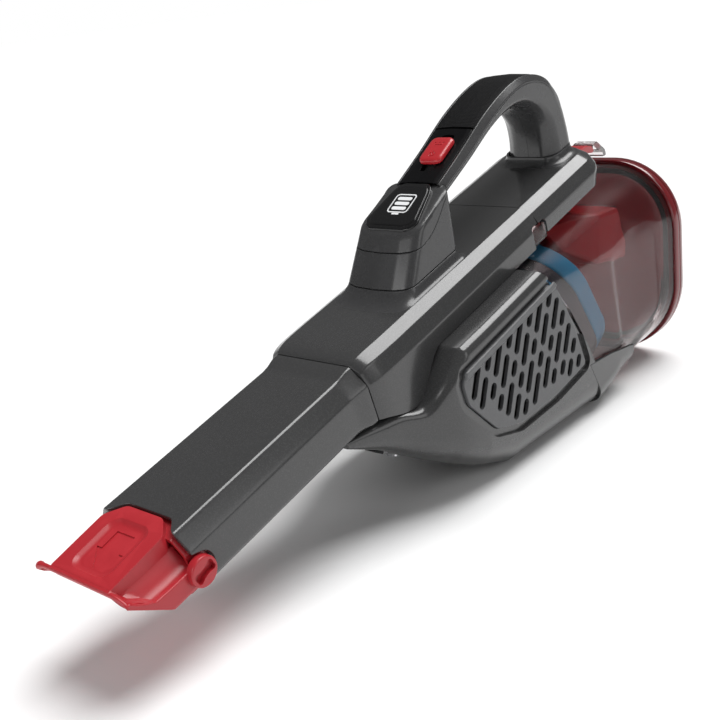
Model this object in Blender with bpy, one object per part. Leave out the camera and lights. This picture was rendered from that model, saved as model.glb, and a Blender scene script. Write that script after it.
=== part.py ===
"""Cordless handheld vacuum, built piece by piece.

Two frames are used. The rest frame is the world: the flat belly lies on z = 0,
the mouth points to -Y. The nose frame follows the nozzle, which points down by
PITCH: its y runs back from the lip and its z is square to the duct.
"""
import bpy
import bmesh
import math
from mathutils import Vector

MM = 0.001

# ---- overall ----
PITCH = math.radians(14.0)      # nozzle axis against the flat belly
LIP_HEIGHT = 45.5 * MM          # lip above the ground
LIP_TO_ORIGIN = 216.2 * MM      # lip in front of the origin

# ---- nozzle and duct ----
DUCT_HALF = 29.0 * MM
DUCT_TOP = 5.0 * MM
DUCT_BOTTOM = -22.0 * MM
DUCT_FRONT = 33.0 * MM
DUCT_REAR = 147.7 * MM
WALL = 2.2 * MM
TIP_TAIL = 122.0 * MM
BOSS_Y = 34.0 * MM
BOSS_Z = -12.0 * MM
BRUSH_Y = 30.6 * MM
BRUSH_Z = -24.8 * MM

# ---- body beam, shells ----
BEAM_HALF = 34.0 * MM
DECK = 9.0 * MM
BEAM_SPLIT = 300.0 * MM
BEAM_REAR = 389.0 * MM
SHELF = -12.3 * MM
HULL_HALF = 50.0 * MM
HULL_WALL = 2.4 * MM
SEAM_LEAN = math.radians(18.3)
SEAM_Y = 271.5 * MM             # seam plane at shelf height
SEAM_SWELL = 7.0 * MM

# ---- bowl and door (rest frame) ----
BOWL_WALL = 2.0 * MM
DOOR_Y = 416.6 * MM
DOOR_DEPTH = 12.0 * MM
DOOR_HALF = 53.5 * MM
DOOR_TOP = 127.0 * MM
DOOR_BOTTOM = 0.9 * MM
HINGE_Y = 414.7 * MM
HINGE_Z = 1.4 * MM

# ---- suction unit, square to the seam ----
FAN_Y = 288.0 * MM
FAN_Z = -58.0 * MM
MOTOR_R = 18.0 * MM
FAN_R = 34.0 * MM

# ---- battery ----
CELL_R = 9.1 * MM
CELL_LENGTH = 65.0 * MM

# ---- handle ----
TOP_SLOPE = math.radians(16.1)


# ---------------------------------------------------------------- frames

def nose(x, y, z):
    """Nose frame to world."""
    c = math.cos(PITCH)
    s = math.sin(PITCH)
    return Vector((x, y * c - z * s - LIP_TO_ORIGIN, y * s + z * c + LIP_HEIGHT))


def rest(x, y, z):
    """Rest frame measured from the lip to world."""
    return Vector((x, y - LIP_TO_ORIGIN, z))


def seam(x, v, s):
    """Suction axis frame: s along the axis to the rear, v up in the seam plane."""
    y = FAN_Y + s * math.cos(SEAM_LEAN) - v * math.sin(SEAM_LEAN)
    z = FAN_Z + s * math.sin(SEAM_LEAN) + v * math.cos(SEAM_LEAN)
    return nose(x, y, z)


# ---------------------------------------------------------------- sections

def rounded(half, top, bottom, rt, rb, n=3, sides=0):
    """Rounded rectangle as (x, v) pairs, counter-clockwise from the right.

    sides adds points along both upright sides.
    """
    corners = (
        (half - rt[0], top - rt[1], rt, 0),
        (rt[0] - half, top - rt[1], rt, 90),
        (rb[0] - half, bottom + rb[1], rb, 180),
        (half - rb[0], bottom + rb[1], rb, 270),
    )
    out = []
    for cx, cv, r, start in corners:
        for i in range(n + 1):
            a = math.radians(start + 90 * i / n)
            out.append((cx + r[0] * math.cos(a), cv + r[1] * math.sin(a)))
        if start in (90, 270):
            high = top - rt[1]
            low = bottom + rb[1]
            for i in range(sides):
                t = (i + 1) / (sides + 1)
                v = high + (low - high) * t if start == 90 else low + (high - low) * t
                out.append((-half if start == 90 else half, v))
    return out


def circle(r, n=24, cx=0.0, cv=0.0):
    out = []
    for i in range(n):
        a = 2 * math.pi * i / n
        out.append((cx + r * math.cos(a), cv + r * math.sin(a)))
    return out


def upright(points, y, skew=None):
    """Section square to the nozzle axis; skew(x, z) moves points along y."""
    return [nose(x, y + (skew(x, v) if skew else 0.0), v) for x, v in points]


def between(half, top, bottom, rt, rb, place, n=3, sides=0):
    """Rounded section spanned between two side-view points (y, z)."""
    span = math.hypot(top[0] - bottom[0], top[1] - bottom[1])
    out = []
    for x, v in rounded(half, span / 2, -span / 2, rt, rb, n, sides):
        t = v / span + 0.5
        y = bottom[0] + (top[0] - bottom[0]) * t
        z = bottom[1] + (top[1] - bottom[1]) * t
        out.append(place(x, y, z))
    return out


# ---------------------------------------------------------------- bodies

def paint(name, colour, roughness, metallic=0.0, transmission=0.0):
    mat = bpy.data.materials.get(name)
    if mat:
        return mat
    mat = bpy.data.materials.new(name)
    mat.use_nodes = True
    shader = mat.node_tree.nodes["Principled BSDF"]
    shader.inputs["Base Color"].default_value = (*colour, 1.0)
    shader.inputs["Roughness"].default_value = roughness
    shader.inputs["Metallic"].default_value = metallic
    shader.inputs["Transmission Weight"].default_value = transmission
    return mat


def body(name, verts, faces, finish, origin=None):
    """One closed body with its own material, origin given in world."""
    centre = Vector((0.0, 0.0, 0.0))
    if origin is None:
        for v in verts:
            centre += v
        centre /= len(verts)
    else:
        centre = origin
    mesh = bpy.data.meshes.new(name)
    mesh.from_pydata([v - centre for v in verts], [], faces)
    bm = bmesh.new()
    bm.from_mesh(mesh)
    bmesh.ops.recalc_face_normals(bm, faces=bm.faces)
    bm.to_mesh(mesh)
    bm.free()
    ob = bpy.data.objects.new(name, mesh)
    ob.location = centre
    bpy.context.scene.collection.objects.link(ob)
    colour, roughness = finish[0], finish[1]
    metallic = finish[2] if len(finish) > 2 else 0.0
    clear = finish[3] if len(finish) > 3 else 0.0
    mesh.materials.append(paint(name + "_mat", colour, roughness, metallic, clear))
    return ob


def bridge(faces, a, b, n, closed=True):
    for i in range(n if closed else n - 1):
        j = (i + 1) % n
        faces.append((a + i, a + j, b + j, b + i))


def solid(name, rings, finish, origin=None):
    """Loft through rings with a cap on both ends."""
    n = len(rings[0])
    verts = [v for ring in rings for v in ring]
    faces = []
    for k in range(len(rings) - 1):
        bridge(faces, k * n, (k + 1) * n, n)
    faces.append(tuple(range(n)))
    last = (len(rings) - 1) * n
    faces.append(tuple(range(last, last + n)))
    return body(name, verts, faces, finish, origin)


def hoop(name, rings, finish, origin=None):
    """Loft through rings and back to the first: a wall with a way through."""
    n = len(rings[0])
    verts = [v for ring in rings for v in ring]
    faces = []
    for k in range(len(rings)):
        bridge(faces, k * n, ((k + 1) % len(rings)) * n, n)
    return body(name, verts, faces, finish, origin)


def strip(name, rings, finish, origin=None):
    """Loft of open-section rings, each already a closed outline of two sides.

    A ring lists the outer side, then the inner side in reverse, so that the
    end faces can be closed with quads across the wall.
    """
    n = len(rings[0])
    half = n // 2
    verts = [v for ring in rings for v in ring]
    faces = []
    for k in range(len(rings) - 1):
        bridge(faces, k * n, (k + 1) * n, n)
    for base in (0, (len(rings) - 1) * n):
        for i in range(half - 1):
            faces.append((base + i, base + i + 1, base + n - 2 - i, base + n - 1 - i))
    return body(name, verts, faces, finish, origin)


def box(name, place, x, y, z, finish, origin=None):
    """Block between ranges x, y, z in the frame of place."""
    low = [place(a, b, z[0]) for a, b in ((x[0], y[0]), (x[1], y[0]), (x[1], y[1]), (x[0], y[1]))]
    high = [place(a, b, z[1]) for a, b in ((x[0], y[0]), (x[1], y[0]), (x[1], y[1]), (x[0], y[1]))]
    return solid(name, [low, high], finish, origin)


def cutter(ob):
    ob.hide_render = True
    ob.display_type = "WIRE"
    return ob


def cut(ob, tool):
    mod = ob.modifiers.new("cut", "BOOLEAN")
    mod.operation = "DIFFERENCE"
    mod.solver = "EXACT"
    mod.object = tool


# ---------------------------------------------------------------- finishes

GREY = ((0.085, 0.087, 0.09), 0.28)
DARK = ((0.045, 0.046, 0.05), 0.4)
RED = ((0.42, 0.02, 0.028), 0.38)
BLACK = ((0.012, 0.012, 0.013), 0.25)
RUBBER = ((0.015, 0.015, 0.016), 0.75)
BLUE = ((0.03, 0.19, 0.36), 0.45)
WHITE = ((0.8, 0.82, 0.84), 0.4)
SMOKE = ((0.3, 0.26, 0.26), 0.08, 0.0, 0.85)
CLEAR = ((0.75, 0.72, 0.72), 0.08, 0.0, 0.85)
STEEL = ((0.6, 0.6, 0.62), 0.3, 1.0)
CELL = ((0.05, 0.22, 0.13), 0.4)
BOARD = ((0.02, 0.16, 0.06), 0.5)
BRASS = ((0.7, 0.52, 0.25), 0.3, 1.0)


# ---------------------------------------------------------------- nozzle

def duct_mouth(x, z):
    """Front edge of the duct: drawn back over the pad and round the boss."""
    if z > 1 * MM:
        return 6.5 * MM * max(0.0, 1 - (x / (22 * MM)) ** 2) + 0.5 * MM
    if z < -20 * MM:
        return 0.5 * MM
    return 9.0 * MM


def shouldered(half, top, bottom):
    """Section with a flat top, sloping shoulders and tight lower corners."""
    shoulder = ((0.0, -9.0), (-0.8, -4.4), (-3.4, -1.4), (-6.6, 0.0))
    right = [(half + dx * MM, top + dz * MM) for dx, dz in shoulder]
    low = [(half - x, z) for x, z in ((0.0, bottom + 4 * MM), (1.2 * MM, bottom + 1.2 * MM),
                                      (4 * MM, bottom))]
    right = low[::-1] + right
    return right + [(-x, z) for x, z in right[::-1]]


def duct_section(grow, y, skew=None):
    return upright(shouldered(DUCT_HALF + grow, DUCT_TOP + grow, DUCT_BOTTOM - grow), y, skew)


def nozzle_duct():
    inset = -WALL
    rings = [
        duct_section(0, DUCT_FRONT, duct_mouth),
        duct_section(0, DUCT_FRONT + 14 * MM),
        duct_section(0, DUCT_REAR - 10 * MM),
        duct_section(1.6 * MM, DUCT_REAR - 3 * MM),
        duct_section(1.8 * MM, DUCT_REAR),
        duct_section(inset, DUCT_REAR),
        duct_section(inset, DUCT_FRONT + 14 * MM),
        duct_section(inset, DUCT_FRONT, duct_mouth),
    ]
    return hoop("nozzle_duct", rings, GREY)


def tip_mouth(x, z):
    """The mouth is cut back from the lip down to the underside."""
    return max(0.0, -z - 3 * MM) * 1.12


def nozzle_tip():
    def front(y, skew=None, top=2.6 * MM):
        return upright(shouldered(28.8 * MM, top, -19.6 * MM), y, skew)

    def tail(grow, y):
        return upright(shouldered(26.3 * MM + grow, 2.3 * MM + grow, -19.4 * MM - grow), y)

    def inner(y, skew=None, top=0.6 * MM):
        return upright(shouldered(24.6 * MM, top, -17.7 * MM), y, skew)

    rings = [
        front(0, tip_mouth, 0.8 * MM),
        front(9 * MM, lambda x, z: tip_mouth(x, z) * 0.55),
        front(DUCT_FRONT - 0.8 * MM),
        tail(0, DUCT_FRONT - 0.4 * MM),
        tail(0, TIP_TAIL),
        inner(TIP_TAIL),
        inner(9 * MM, lambda x, z: tip_mouth(x, z) * 0.55),
        inner(0, tip_mouth, -1.2 * MM),
    ]
    return hoop("nozzle_tip", rings, RED)


def tip_pad():
    """Raised pad the user pulls to run the tip out."""
    def outline(grow, z):
        pts = rounded(15.5 * MM + grow, 29 * MM + grow, 5.5 * MM - grow, (6 * MM, 6 * MM),
                      (4 * MM, 4 * MM))
        return [nose(x - 3 * MM, y, z) for x, y in pts]
    rings = [outline(0, 2.9 * MM), outline(0, 4.2 * MM), outline(-1.0 * MM, 4.9 * MM)]
    return solid("tip_pad", rings, RED)


def tip_bosses():
    """Round bosses on the sides of the tip, each with a waisted slot."""
    for side, name in ((1, "tip_boss_right"), (-1, "tip_boss_left")):
        rings = []
        for x, r in ((29.1, 6.6), (31.2, 6.6), (31.9, 5.8)):
            pts = circle(r * MM, 18, BOSS_Y, BOSS_Z)
            rings.append([nose(side * x * MM, y, z) for y, z in pts])
        boss = solid(name, rings, RED)
        slot = ((-4.6, 1.0), (-3.2, 1.9), (-1.4, 0.9), (1.4, 0.9), (3.2, 1.9), (4.6, 1.0),
                (4.6, -1.0), (3.2, -1.9), (1.4, -0.9), (-1.4, -0.9), (-3.2, -1.9), (-4.6, -1.0))
        rings = [[nose(side * x * MM, BOSS_Y + y * MM, BOSS_Z + z * MM) for y, z in slot]
                 for x in (30.6, 33.0)]
        cut(boss, cutter(solid(name + "_slot", rings, RED)))


def brush():
    """Flip brush stowed under the duct: a carrier plate and its bristles."""
    pivot = nose(0, BRUSH_Y, BRUSH_Z)
    section = ((29.4, -23.4), (57.0, -23.4), (57.0, -26.2), (31.0, -26.4), (29.0, -25.4))
    rings = [[nose(x * MM, y * MM, z * MM) for y, z in section] for x in (-20.0, 20.0)]
    solid("brush_carrier", rings, RED, pivot)
    box("brush_bristles", nose, (-19 * MM, 19 * MM), (57.3 * MM, 67.0 * MM),
        (-26.0 * MM, -23.8 * MM), RUBBER, pivot)


# ---------------------------------------------------------------- upper body

def beam_foot(y):
    """Lower edge of the beam side: dips into a short lobe behind the duct."""
    y = y / MM
    if y < 172:
        return (-21.5 - 8.5 * max(0.0, (y - 148) / 24)) * MM
    if y < 199:
        return (-30.0 + 18.0 * (y - 172) / 27) * MM
    return -12.0 * MM


def beam_section(y, half, top, wall=WALL):
    """Open-bottomed section: outer side, then the inner side in reverse."""
    low = beam_foot(y)
    outer = rounded(half, top, low, (7.5 * MM, 5 * MM), (0.1 * MM, 0.1 * MM))[:8]
    inner = rounded(half - wall, top - wall, low, (6 * MM, 4 * MM), (0.1 * MM, 0.1 * MM))[:8]
    outer = [(half, low)] + outer + [(-half, low)]
    inner = [(half - wall, low)] + inner + [(wall - half, low)]
    return [nose(x, y, z) for x, z in outer + inner[::-1]]


def upper_shell():
    stations = (
        (148.0, 30.9, 7.0), (151.0, 32.6, 8.2), (158.0, 33.4, 9.0), (172.0, 34.0, 9.0),
        (185.0, 34.0, 9.0), (199.0, 34.0, 9.0), (240.0, 34.0, 9.0), (299.8, 34.0, 9.0),
    )
    rings = [beam_section(y * MM, half * MM, top * MM) for y, half, top in stations]
    return strip("upper_shell", rings, GREY)


def rear_cover():
    """Closed-ended rear part of the beam, over the bowl."""
    def outline(grow, z, drop=0.0):
        pts = rounded(BEAM_HALF + grow, BEAM_REAR + grow - drop, BEAM_SPLIT + 0.1 * MM - min(0, grow),
                      (17 * MM, 17 * MM), (0.6 * MM, 0.6 * MM), 4)
        return [nose(x, y, z) for x, y in pts]
    rings = [
        outline(-WALL, DECK - WALL),
        outline(-WALL, -8.8 * MM, 5 * MM),
        outline(0, -8.8 * MM, 5 * MM),
        outline(0, 4 * MM),
        outline(-1.6 * MM, 7.4 * MM),
        outline(-6 * MM, DECK),
    ]
    return solid("rear_cover", rings, GREY)


def release_buttons():
    for side, name in ((1, "bowl_button_right"), (-1, "bowl_button_left")):
        tool = box(name + "_pocket", nose, sorted((side * 28.2 * MM, side * 37 * MM)),
                   (293 * MM, 307 * MM), (-14 * MM, 0), GREY)
        cutter(tool)
        cut(bpy.data.objects["upper_shell"], tool)
        cut(bpy.data.objects["rear_cover"], tool)
        rings = []
        for x, g in ((30.6, 0.5), (33.2, 0.5), (34.0, 1.2)):
            pts = ((293 + g, -11.6 + g), (307 - g, -11.6 + g), (307 - g, -g), (293 + g, -g))
            rings.append([nose(side * x * MM, y * MM, z * MM) for y, z in pts])
        solid(name, rings, SMOKE)


# ---------------------------------------------------------------- tower

def tower_outline(z, grow=0.0, n=3):
    """Plan outline of the tower: the front leans back as it rises."""
    t = (z - DECK) / (30 * MM)
    front = (197 + 26 * t) * MM
    rear = (246 + 7 * t) * MM
    half = (21.5 - 2.2 * t) * MM
    pts = rounded(half + grow, rear + grow, front - grow, (5 * MM, 5 * MM), (9 * MM, 8 * MM), n)
    return [(x, y) for x, y in pts]


def tower_ring(name, low, high, wall=2.4 * MM):
    rings = []
    for z, grow in ((low, 0), (high, 0), (high, -wall), (low, -wall)):
        rings.append([nose(x, y, z) for x, y in tower_outline(z, grow)])
    return hoop(name, rings, GREY)


def top_plane(y):
    """Height of the tower top and of the front of the handle."""
    return 46 * MM + (y - 250 * MM) * math.tan(TOP_SLOPE)


def tower_head():
    """Cap of the tower, its top slopes up to the handle."""
    low = 28.4 * MM

    def level(z, grow):
        return [nose(x, y, z) for x, y in tower_outline(z, grow)]

    def slanted(drop, grow):
        out = []
        for x, y in tower_outline(38 * MM, grow):
            out.append(nose(x, y, top_plane(y) - drop))
        return out
    wall = 2.4 * MM
    rings = [
        slanted(3.2 * MM + wall, -wall - 3 * MM),
        slanted(6 * MM, -wall),
        level(low, -wall),
        level(low, 0),
        slanted(5.0 * MM, 0),
        slanted(3.0 * MM, -1.4 * MM),
        slanted(2.3 * MM, -4 * MM),
    ]
    return solid("tower_head", rings, GREY)


def indicator():
    def outline(half, y0, y1, r, drop):
        out = []
        for x, y in rounded(half * MM, y1 * MM, y0 * MM, (r * MM, r * MM), (r * MM, r * MM)):
            out.append(nose(x, y, top_plane(y) - drop * MM))
        return out
    panel = [outline(15.4, 224.6, 249.4, 6, 2.0), outline(15.4, 224.6, 249.4, 6, 0.6),
             outline(14.2, 225.8, 248.2, 5, 0.0)]
    solid("indicator_panel", panel, BLACK)
    frame = [outline(6.6, 231.5, 242.8, 1.6, -0.1), outline(6.6, 231.5, 242.8, 1.6, -0.35),
             outline(5.9, 232.2, 242.1, 1.2, -0.35), outline(5.9, 232.2, 242.1, 1.2, -0.1)]
    hoop("battery_icon", frame, WHITE)
    for i in range(3):
        y = 233.3 + 2.8 * i
        bar = [outline(4.4, y, y + 1.9, 0.4, -0.1), outline(4.4, y, y + 1.9, 0.4, -0.35)]
        solid("charge_bar_%d" % (i + 1), bar, WHITE)


# ---------------------------------------------------------------- handle

HANDLE_PATH = (
    # outer (y, z), inner (y, z): back over the arch and down to the deck
    ((252.3, 46.0), (256.5, 37.0)),
    ((276.0, 52.84), (281.0, 44.0)),
    ((304.0, 60.9), (304.5, 50.6)),
    ((330.0, 64.6), (323.0, 52.8)),
    ((349.0, 62.6), (338.0, 50.0)),
    ((365.0, 54.5), (349.0, 42.0)),
    ((376.0, 41.5), (354.5, 31.0)),
    ((380.5, 26.0), (355.5, 20.0)),
    ((380.0, 9.3), (352.5, 9.3)),
)
GRIP_LAST = 5


def handle_half(name, side):
    rings = []
    count = len(HANDLE_PATH)
    for k, (outer, inner) in enumerate(HANDLE_PATH):
        span = math.hypot(outer[0] - inner[0], outer[1] - inner[1])
        drop = 2.6 if k <= GRIP_LAST else 1.2
        half = 16.0 + (1.5 if k >= count - 2 else 0.0) - (1.2 if k == 0 else 0)
        wall = 1.9
        outside = ((0.15, drop), (11.3, drop), (11.3, 0.9), (13.8, 1.4), (half, 4.6),
                   (half, span - 4.2), (13.0, span - 0.8), (9.0, span), (0.15, span))
        inside = ((0.15, drop + wall), (11.0, drop + wall), (12.3, drop + wall), (13.2, 4.6),
                  (half - wall, 5.4), (half - wall, span - 4.4), (12.0, span - 2.4),
                  (8.6, span - wall), (0.15, span - wall))
        ring = []
        for x, d in outside + inside[::-1]:
            t = d / span
            y = (outer[0] + (inner[0] - outer[0]) * t) * MM
            z = (outer[1] + (inner[1] - outer[1]) * t) * MM
            ring.append(nose(side * x * MM, y, z))
        rings.append(ring)
    return strip(name, rings, GREY)


def handle_strip(name, first, last, finish, half=10.9, gap=0.3, rise=2.3):
    """Inlay lying in the recess along the top of the handle, first..last in path steps."""
    def at(u):
        k = min(int(u), len(HANDLE_PATH) - 2)
        t = u - k
        (a, b), (c, d) = HANDLE_PATH[k], HANDLE_PATH[k + 1]
        outer = (a[0] + (c[0] - a[0]) * t, a[1] + (c[1] - a[1]) * t)
        inner = (b[0] + (d[0] - b[0]) * t, b[1] + (d[1] - b[1]) * t)
        return outer, inner
    steps = [first] + [k for k in range(int(first) + 1, int(math.ceil(last)))] + [last]
    rings = []
    for u in steps:
        outer, inner = at(u)
        span = math.hypot(outer[0] - inner[0], outer[1] - inner[1])
        low = 2.6 - gap
        section = ((half, low), (half, 0.9), (half - 2.5, 0.1), (0, -0.5), (2.5 - half, 0.1),
                   (-half, 0.9), (-half, low), (0, low))
        ring = []
        for x, d in section:
            t = d / span
            y = (outer[0] + (inner[0] - outer[0]) * t) * MM
            z = (outer[1] + (inner[1] - outer[1]) * t) * MM
            ring.append(nose(x * MM, y, z))
        rings.append(ring)
    return solid(name, rings, finish)


def slope(x, along, up):
    """Frame of the straight front of the handle: along it from its start, up off it."""
    c = math.cos(TOP_SLOPE)
    s = math.sin(TOP_SLOPE)
    return nose(x, 252.3 * MM + along * c - up * s, 46.0 * MM + along * s + up * c)


def switch():
    bezel = handle_strip("switch_bezel", 0.04, 1.55, BLACK)
    tool = cutter(box("switch_slot", slope, (-4 * MM, 4 * MM), (9 * MM, 33 * MM),
                      (-4 * MM, 3 * MM), BLACK))
    cut(bezel, tool)

    def outline(up, y0, y1, half, r):
        pts = rounded(half * MM, y1 * MM, y0 * MM, (r * MM, r * MM), (r * MM, r * MM), 2)
        return [slope(x, y, up * MM) for x, y in pts]
    top = [outline(0.9, 14, 32, 7.0, 3.0), outline(2.2, 14, 32, 7.0, 3.0),
           outline(3.2, 15.4, 30.6, 5.8, 2.4)]
    solid("power_switch", top, RED)
    stem = [outline(-1.8, 18.5, 24, 3.5, 0.8), outline(0.6, 18.5, 24, 3.5, 0.8)]
    solid("switch_stem", stem, RED)


# ---------------------------------------------------------------- lower housing

def ground_z(y):
    """Height of the ground in the nose frame below y."""
    return (-LIP_HEIGHT - y * math.sin(PITCH)) / math.cos(PITCH)


def hull_section(y, half, top, bottom, corner, grow=0.0):
    tall = (top - bottom) * MM
    rt = (5 * MM, min(4 * MM, tall * 0.3))
    rb = (corner * MM, min(corner * 0.8 * MM, tall * 0.45))
    points = rounded(half * MM + grow, top * MM + grow, bottom * MM - grow, rt, rb, 3, 3)
    return upright(points, y * MM)


def seam_point(z, off=0.0):
    """(y, z) on the seam plane, moved off along the nozzle axis."""
    return SEAM_Y + off + (SHELF - z) * math.tan(SEAM_LEAN), z


def seam_ring(grow, off, z_top, z_low, rt, rb, half=HULL_HALF, n=3):
    """Section in the seam, which swells to the rear half way down the sides."""
    top = seam_point(z_top + grow, off)
    low = seam_point(z_low - grow, off)

    def swell(x, y, z):
        t = (z - z_low) / (z_top - z_low)
        return nose(x, y + SEAM_SWELL * max(0.0, 4 * t * (1 - t)), z)
    return between(half + grow, top, low, rt, rb, swell, n, 3)


def motor_housing():
    stations = (
        (130.0, 25.0, -23.4, -27.0, 2.0),
        (148.0, 31.5, -24.2, -41.0, 9.0),
        (159.0, 35.0, -26.2, -52.5, 13.0),
        (172.0, 41.5, -30.4, -65.0, 16.0),
        (185.0, 47.6, -22.0, -77.5, 18.0),
        (199.0, 49.7, -12.3, -89.5, 18.0),
    )
    outer = []
    inner = []
    wall = HULL_WALL
    for k, (y, half, top, bottom, corner) in enumerate(stations):
        outer.append(hull_section(y, half, top, bottom, corner))
        if k > 0:
            inner.append(hull_section(y + 1.0, half, top, bottom, corner, -wall))
    flat = ground_z(218 * MM)
    outer.append(hull_section(218.0, 50.0, -12.3, flat / MM, 18.0))
    inner.append(hull_section(218.0, 50.0, -12.3, flat / MM, 18.0, -wall))
    low = seam_floor(0.0)
    rt = (6 * MM, 5 * MM)
    rb = (17 * MM, 15 * MM)
    outer.append(seam_ring(0, 0, SHELF, low, rt, rb))
    inner.append(seam_ring(-wall, 0, SHELF, low, rt, rb))
    ob = solid("motor_housing", outer + inner[::-1], GREY)
    for side in (-1, 1):
        pts = grille_outline(0.6 * MM)
        rings = [[nose(side * x, y, z) for y, z in pts] for x in (42 * MM, 56 * MM)]
        cut(ob, cutter(solid("grille_hole_%d" % (side + 1), rings, GREY)))
    jack = socket_rings(((5.4, -6), (5.4, 8)))
    cut(ob, cutter(solid("jack_hole", jack, GREY)))
    return ob


def seam_floor(off):
    """Height in the nose frame where the seam plane meets the ground."""
    t = math.tan(SEAM_LEAN)
    p = math.tan(PITCH)
    c = math.cos(PITCH)
    return (-LIP_HEIGHT / c - (SEAM_Y + off + SHELF * t) * p) / (1 - t * p)


def grille_outline(grow=0.0):
    pts = (
        (197.0, -22.5), (273.5, -22.5), (280.0, -27.0), (286.0, -42.0), (291.5, -60.0),
        (295.0, -84.0), (262.0, -83.0), (226.0, -76.0), (207.0, -66.0), (190.5, -38.0),
        (190.5, -29.0),
    )
    cy = 245.0
    cz = -52.0
    out = []
    for y, z in pts:
        d = math.hypot(y - cy, z - cz)
        k = 1 + grow / MM / d
        out.append(((cy + (y - cy) * k) * MM, (cz + (z - cz) * k) * MM))
    return out


def inside(points, y, z):
    hit = False
    n = len(points)
    for i in range(n):
        y0, z0 = points[i]
        y1, z1 = points[(i + 1) % n]
        if (z0 > z) != (z1 > z) and y < (y1 - y0) * (z - z0) / (z1 - z0) + y0:
            hit = not hit
    return hit


def slot_list():
    """Leaning slots in columns of alternating long and short ones."""
    lean = math.radians(36)
    dy = -math.sin(lean)
    dz = -math.cos(lean)
    margin = grille_outline(-4.6 * MM)
    slots = []
    for col in range(13):
        y0 = 178.0 + 10.6 * col
        s = -22.0 - 7.0 * (col % 2)
        step = col
        while s < 90:
            length = 14.5 if step % 2 else 5.0
            a = (y0 + 24 + dy * s, -26 + dz * s)
            b = (a[0] + dy * length, a[1] + dz * length)
            if inside(margin, a[0] * MM, a[1] * MM) and inside(margin, b[0] * MM, b[1] * MM):
                slots.append((a, b))
            s += length + 5.2
            step += 1
    return slots


def grille(side, name):
    x0 = side * 47.9 * MM
    x1 = side * 49.9 * MM
    pts = grille_outline()
    plate = solid(name, [[nose(x, y, z) for y, z in pts] for x in (x0, x1)], GREY)
    verts = []
    faces = []
    w = 1.7
    for a, b in slot_list():
        dy = b[0] - a[0]
        dz = b[1] - a[1]
        d = math.hypot(dy, dz)
        uy, uz = dy / d, dz / d
        ring = ((a[0] - uz * w, a[1] + uy * w), (a[0] - uy * w, a[1] - uz * w),
                (a[0] + uz * w, a[1] - uy * w), (b[0] + uz * w, b[1] - uy * w),
                (b[0] + uy * w, b[1] + uz * w), (b[0] - uz * w, b[1] + uy * w))
        base = len(verts)
        for x in (x0 - side * 2 * MM, x1 + side * 2 * MM):
            verts.extend(nose(x, y * MM, z * MM) for y, z in ring)
        bridge(faces, base, base + 6, 6)
        faces.append(tuple(range(base, base + 6)))
        faces.append(tuple(range(base + 6, base + 12)))
    tool = cutter(body(name + "_slots", verts, faces, GREY))
    cut(plate, tool)
    return plate


def socket_rings(steps):
    """Rings square to the belly front, for the charging jack; (radius, depth) in mm."""
    y0, z0 = 166.0, -61.0
    a = math.radians(45)
    out = []
    for r, d in steps:
        ring = []
        for u, v in circle(r, 16):
            y = y0 + v * math.cos(a) + d * math.sin(a)
            z = z0 - v * math.sin(a) + d * math.cos(a)
            ring.append(nose(u * MM, y * MM, z * MM))
        out.append(ring)
    return out


def charging_socket():
    steps = ((4.9, -0.4), (4.9, 9.0), (2.9, 9.0), (2.9, -0.4))
    hoop("charging_socket", socket_rings(steps), BLACK)
    pin = socket_rings(((0.9, 2.0), (0.9, 9.6)))
    solid("socket_pin", pin, BRASS)


def rear_cradle():
    """Open tray behind the seam that carries the bowl."""
    def section(y_low, y_high, z_high, wall, r, half=50.9):
        z_low = 0.0
        right = [(half, z_high)]
        for i in range(5):
            a = math.radians(-90 * i / 4)
            right.append((half - r[0] + r[0] * math.cos(a), z_low + r[1] + r[1] * math.sin(a)))
        outer = right + [(-x, z) for x, z in right[::-1]]
        inner = []
        for x, z in outer:
            k = (half - wall) / half
            lift = wall * max(0.0, 1 - (z - z_low) / (z_high - z_low)) if z < z_low + 14 else 0.0
            inner.append((x * k, z + lift if z < z_low + 0.01 else max(z, z_low + wall)))
        pts = outer + inner[::-1]
        ring = []
        for x, z in pts:
            t = (z - z_low) / (z_high - z_low)
            y = y_low + (y_high - y_low) * t
            ring.append(rest(x * MM, y * MM, z * MM))
        return ring
    tilt = math.tan(SEAM_LEAN + PITCH)
    front_low = 333.0
    height = 32.5
    rings = [
        section(front_low, front_low - height * tilt + 5.5, height, 2.2, (17.0, 13.0)),
        section(350.0, 343.0, 30.0, 2.2, (23.0, 20.0)),
        section(366.0, 363.0, 27.5, 2.2, (28.0, 25.0)),
    ]
    return strip("rear_cradle", rings, GREY)


# ---------------------------------------------------------------- bowl and door

def bowl_rings(grow):
    """Stations from the leaning seam to the upright door plane, rest frame."""
    stations = (
        ((309.1, 106.6), (352.0, 3.2), 48.2, (20.0, 22.0), (26.0, 26.0)),
        ((353.3, 114.6), (378.0, 3.0), 48.4, (24.0, 28.0), (34.0, 34.0)),
        ((391.0, 121.4), (399.0, 2.9), 50.4, (28.0, 32.0), (38.0, 38.0)),
        ((416.2, 125.2), (416.2, 2.8), 52.0, (30.0, 34.0), (40.0, 40.0)),
    )
    low = seam_floor(1.8 * MM) + 3.4 * MM
    out = [seam_ring(grow, 1.8 * MM, SHELF - 0.5 * MM, low, (14 * MM, 14 * MM),
                     (20 * MM, 18 * MM), 48.2 * MM, 4)]
    for top, low, half, rt, rb in stations:
        dy = top[0] - low[0]
        dz = top[1] - low[1]
        d = math.hypot(dy, dz)
        t = (top[0] * MM + grow * dy / d, top[1] * MM + grow * dz / d)
        b = (low[0] * MM - grow * dy / d, low[1] * MM - grow * dz / d)
        g = grow
        out.append(between(half * MM + grow, t, b,
                           (rt[0] * MM + g, rt[1] * MM + g), (rb[0] * MM + g, rb[1] * MM + g),
                           rest, 4, 3))
    return out


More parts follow.
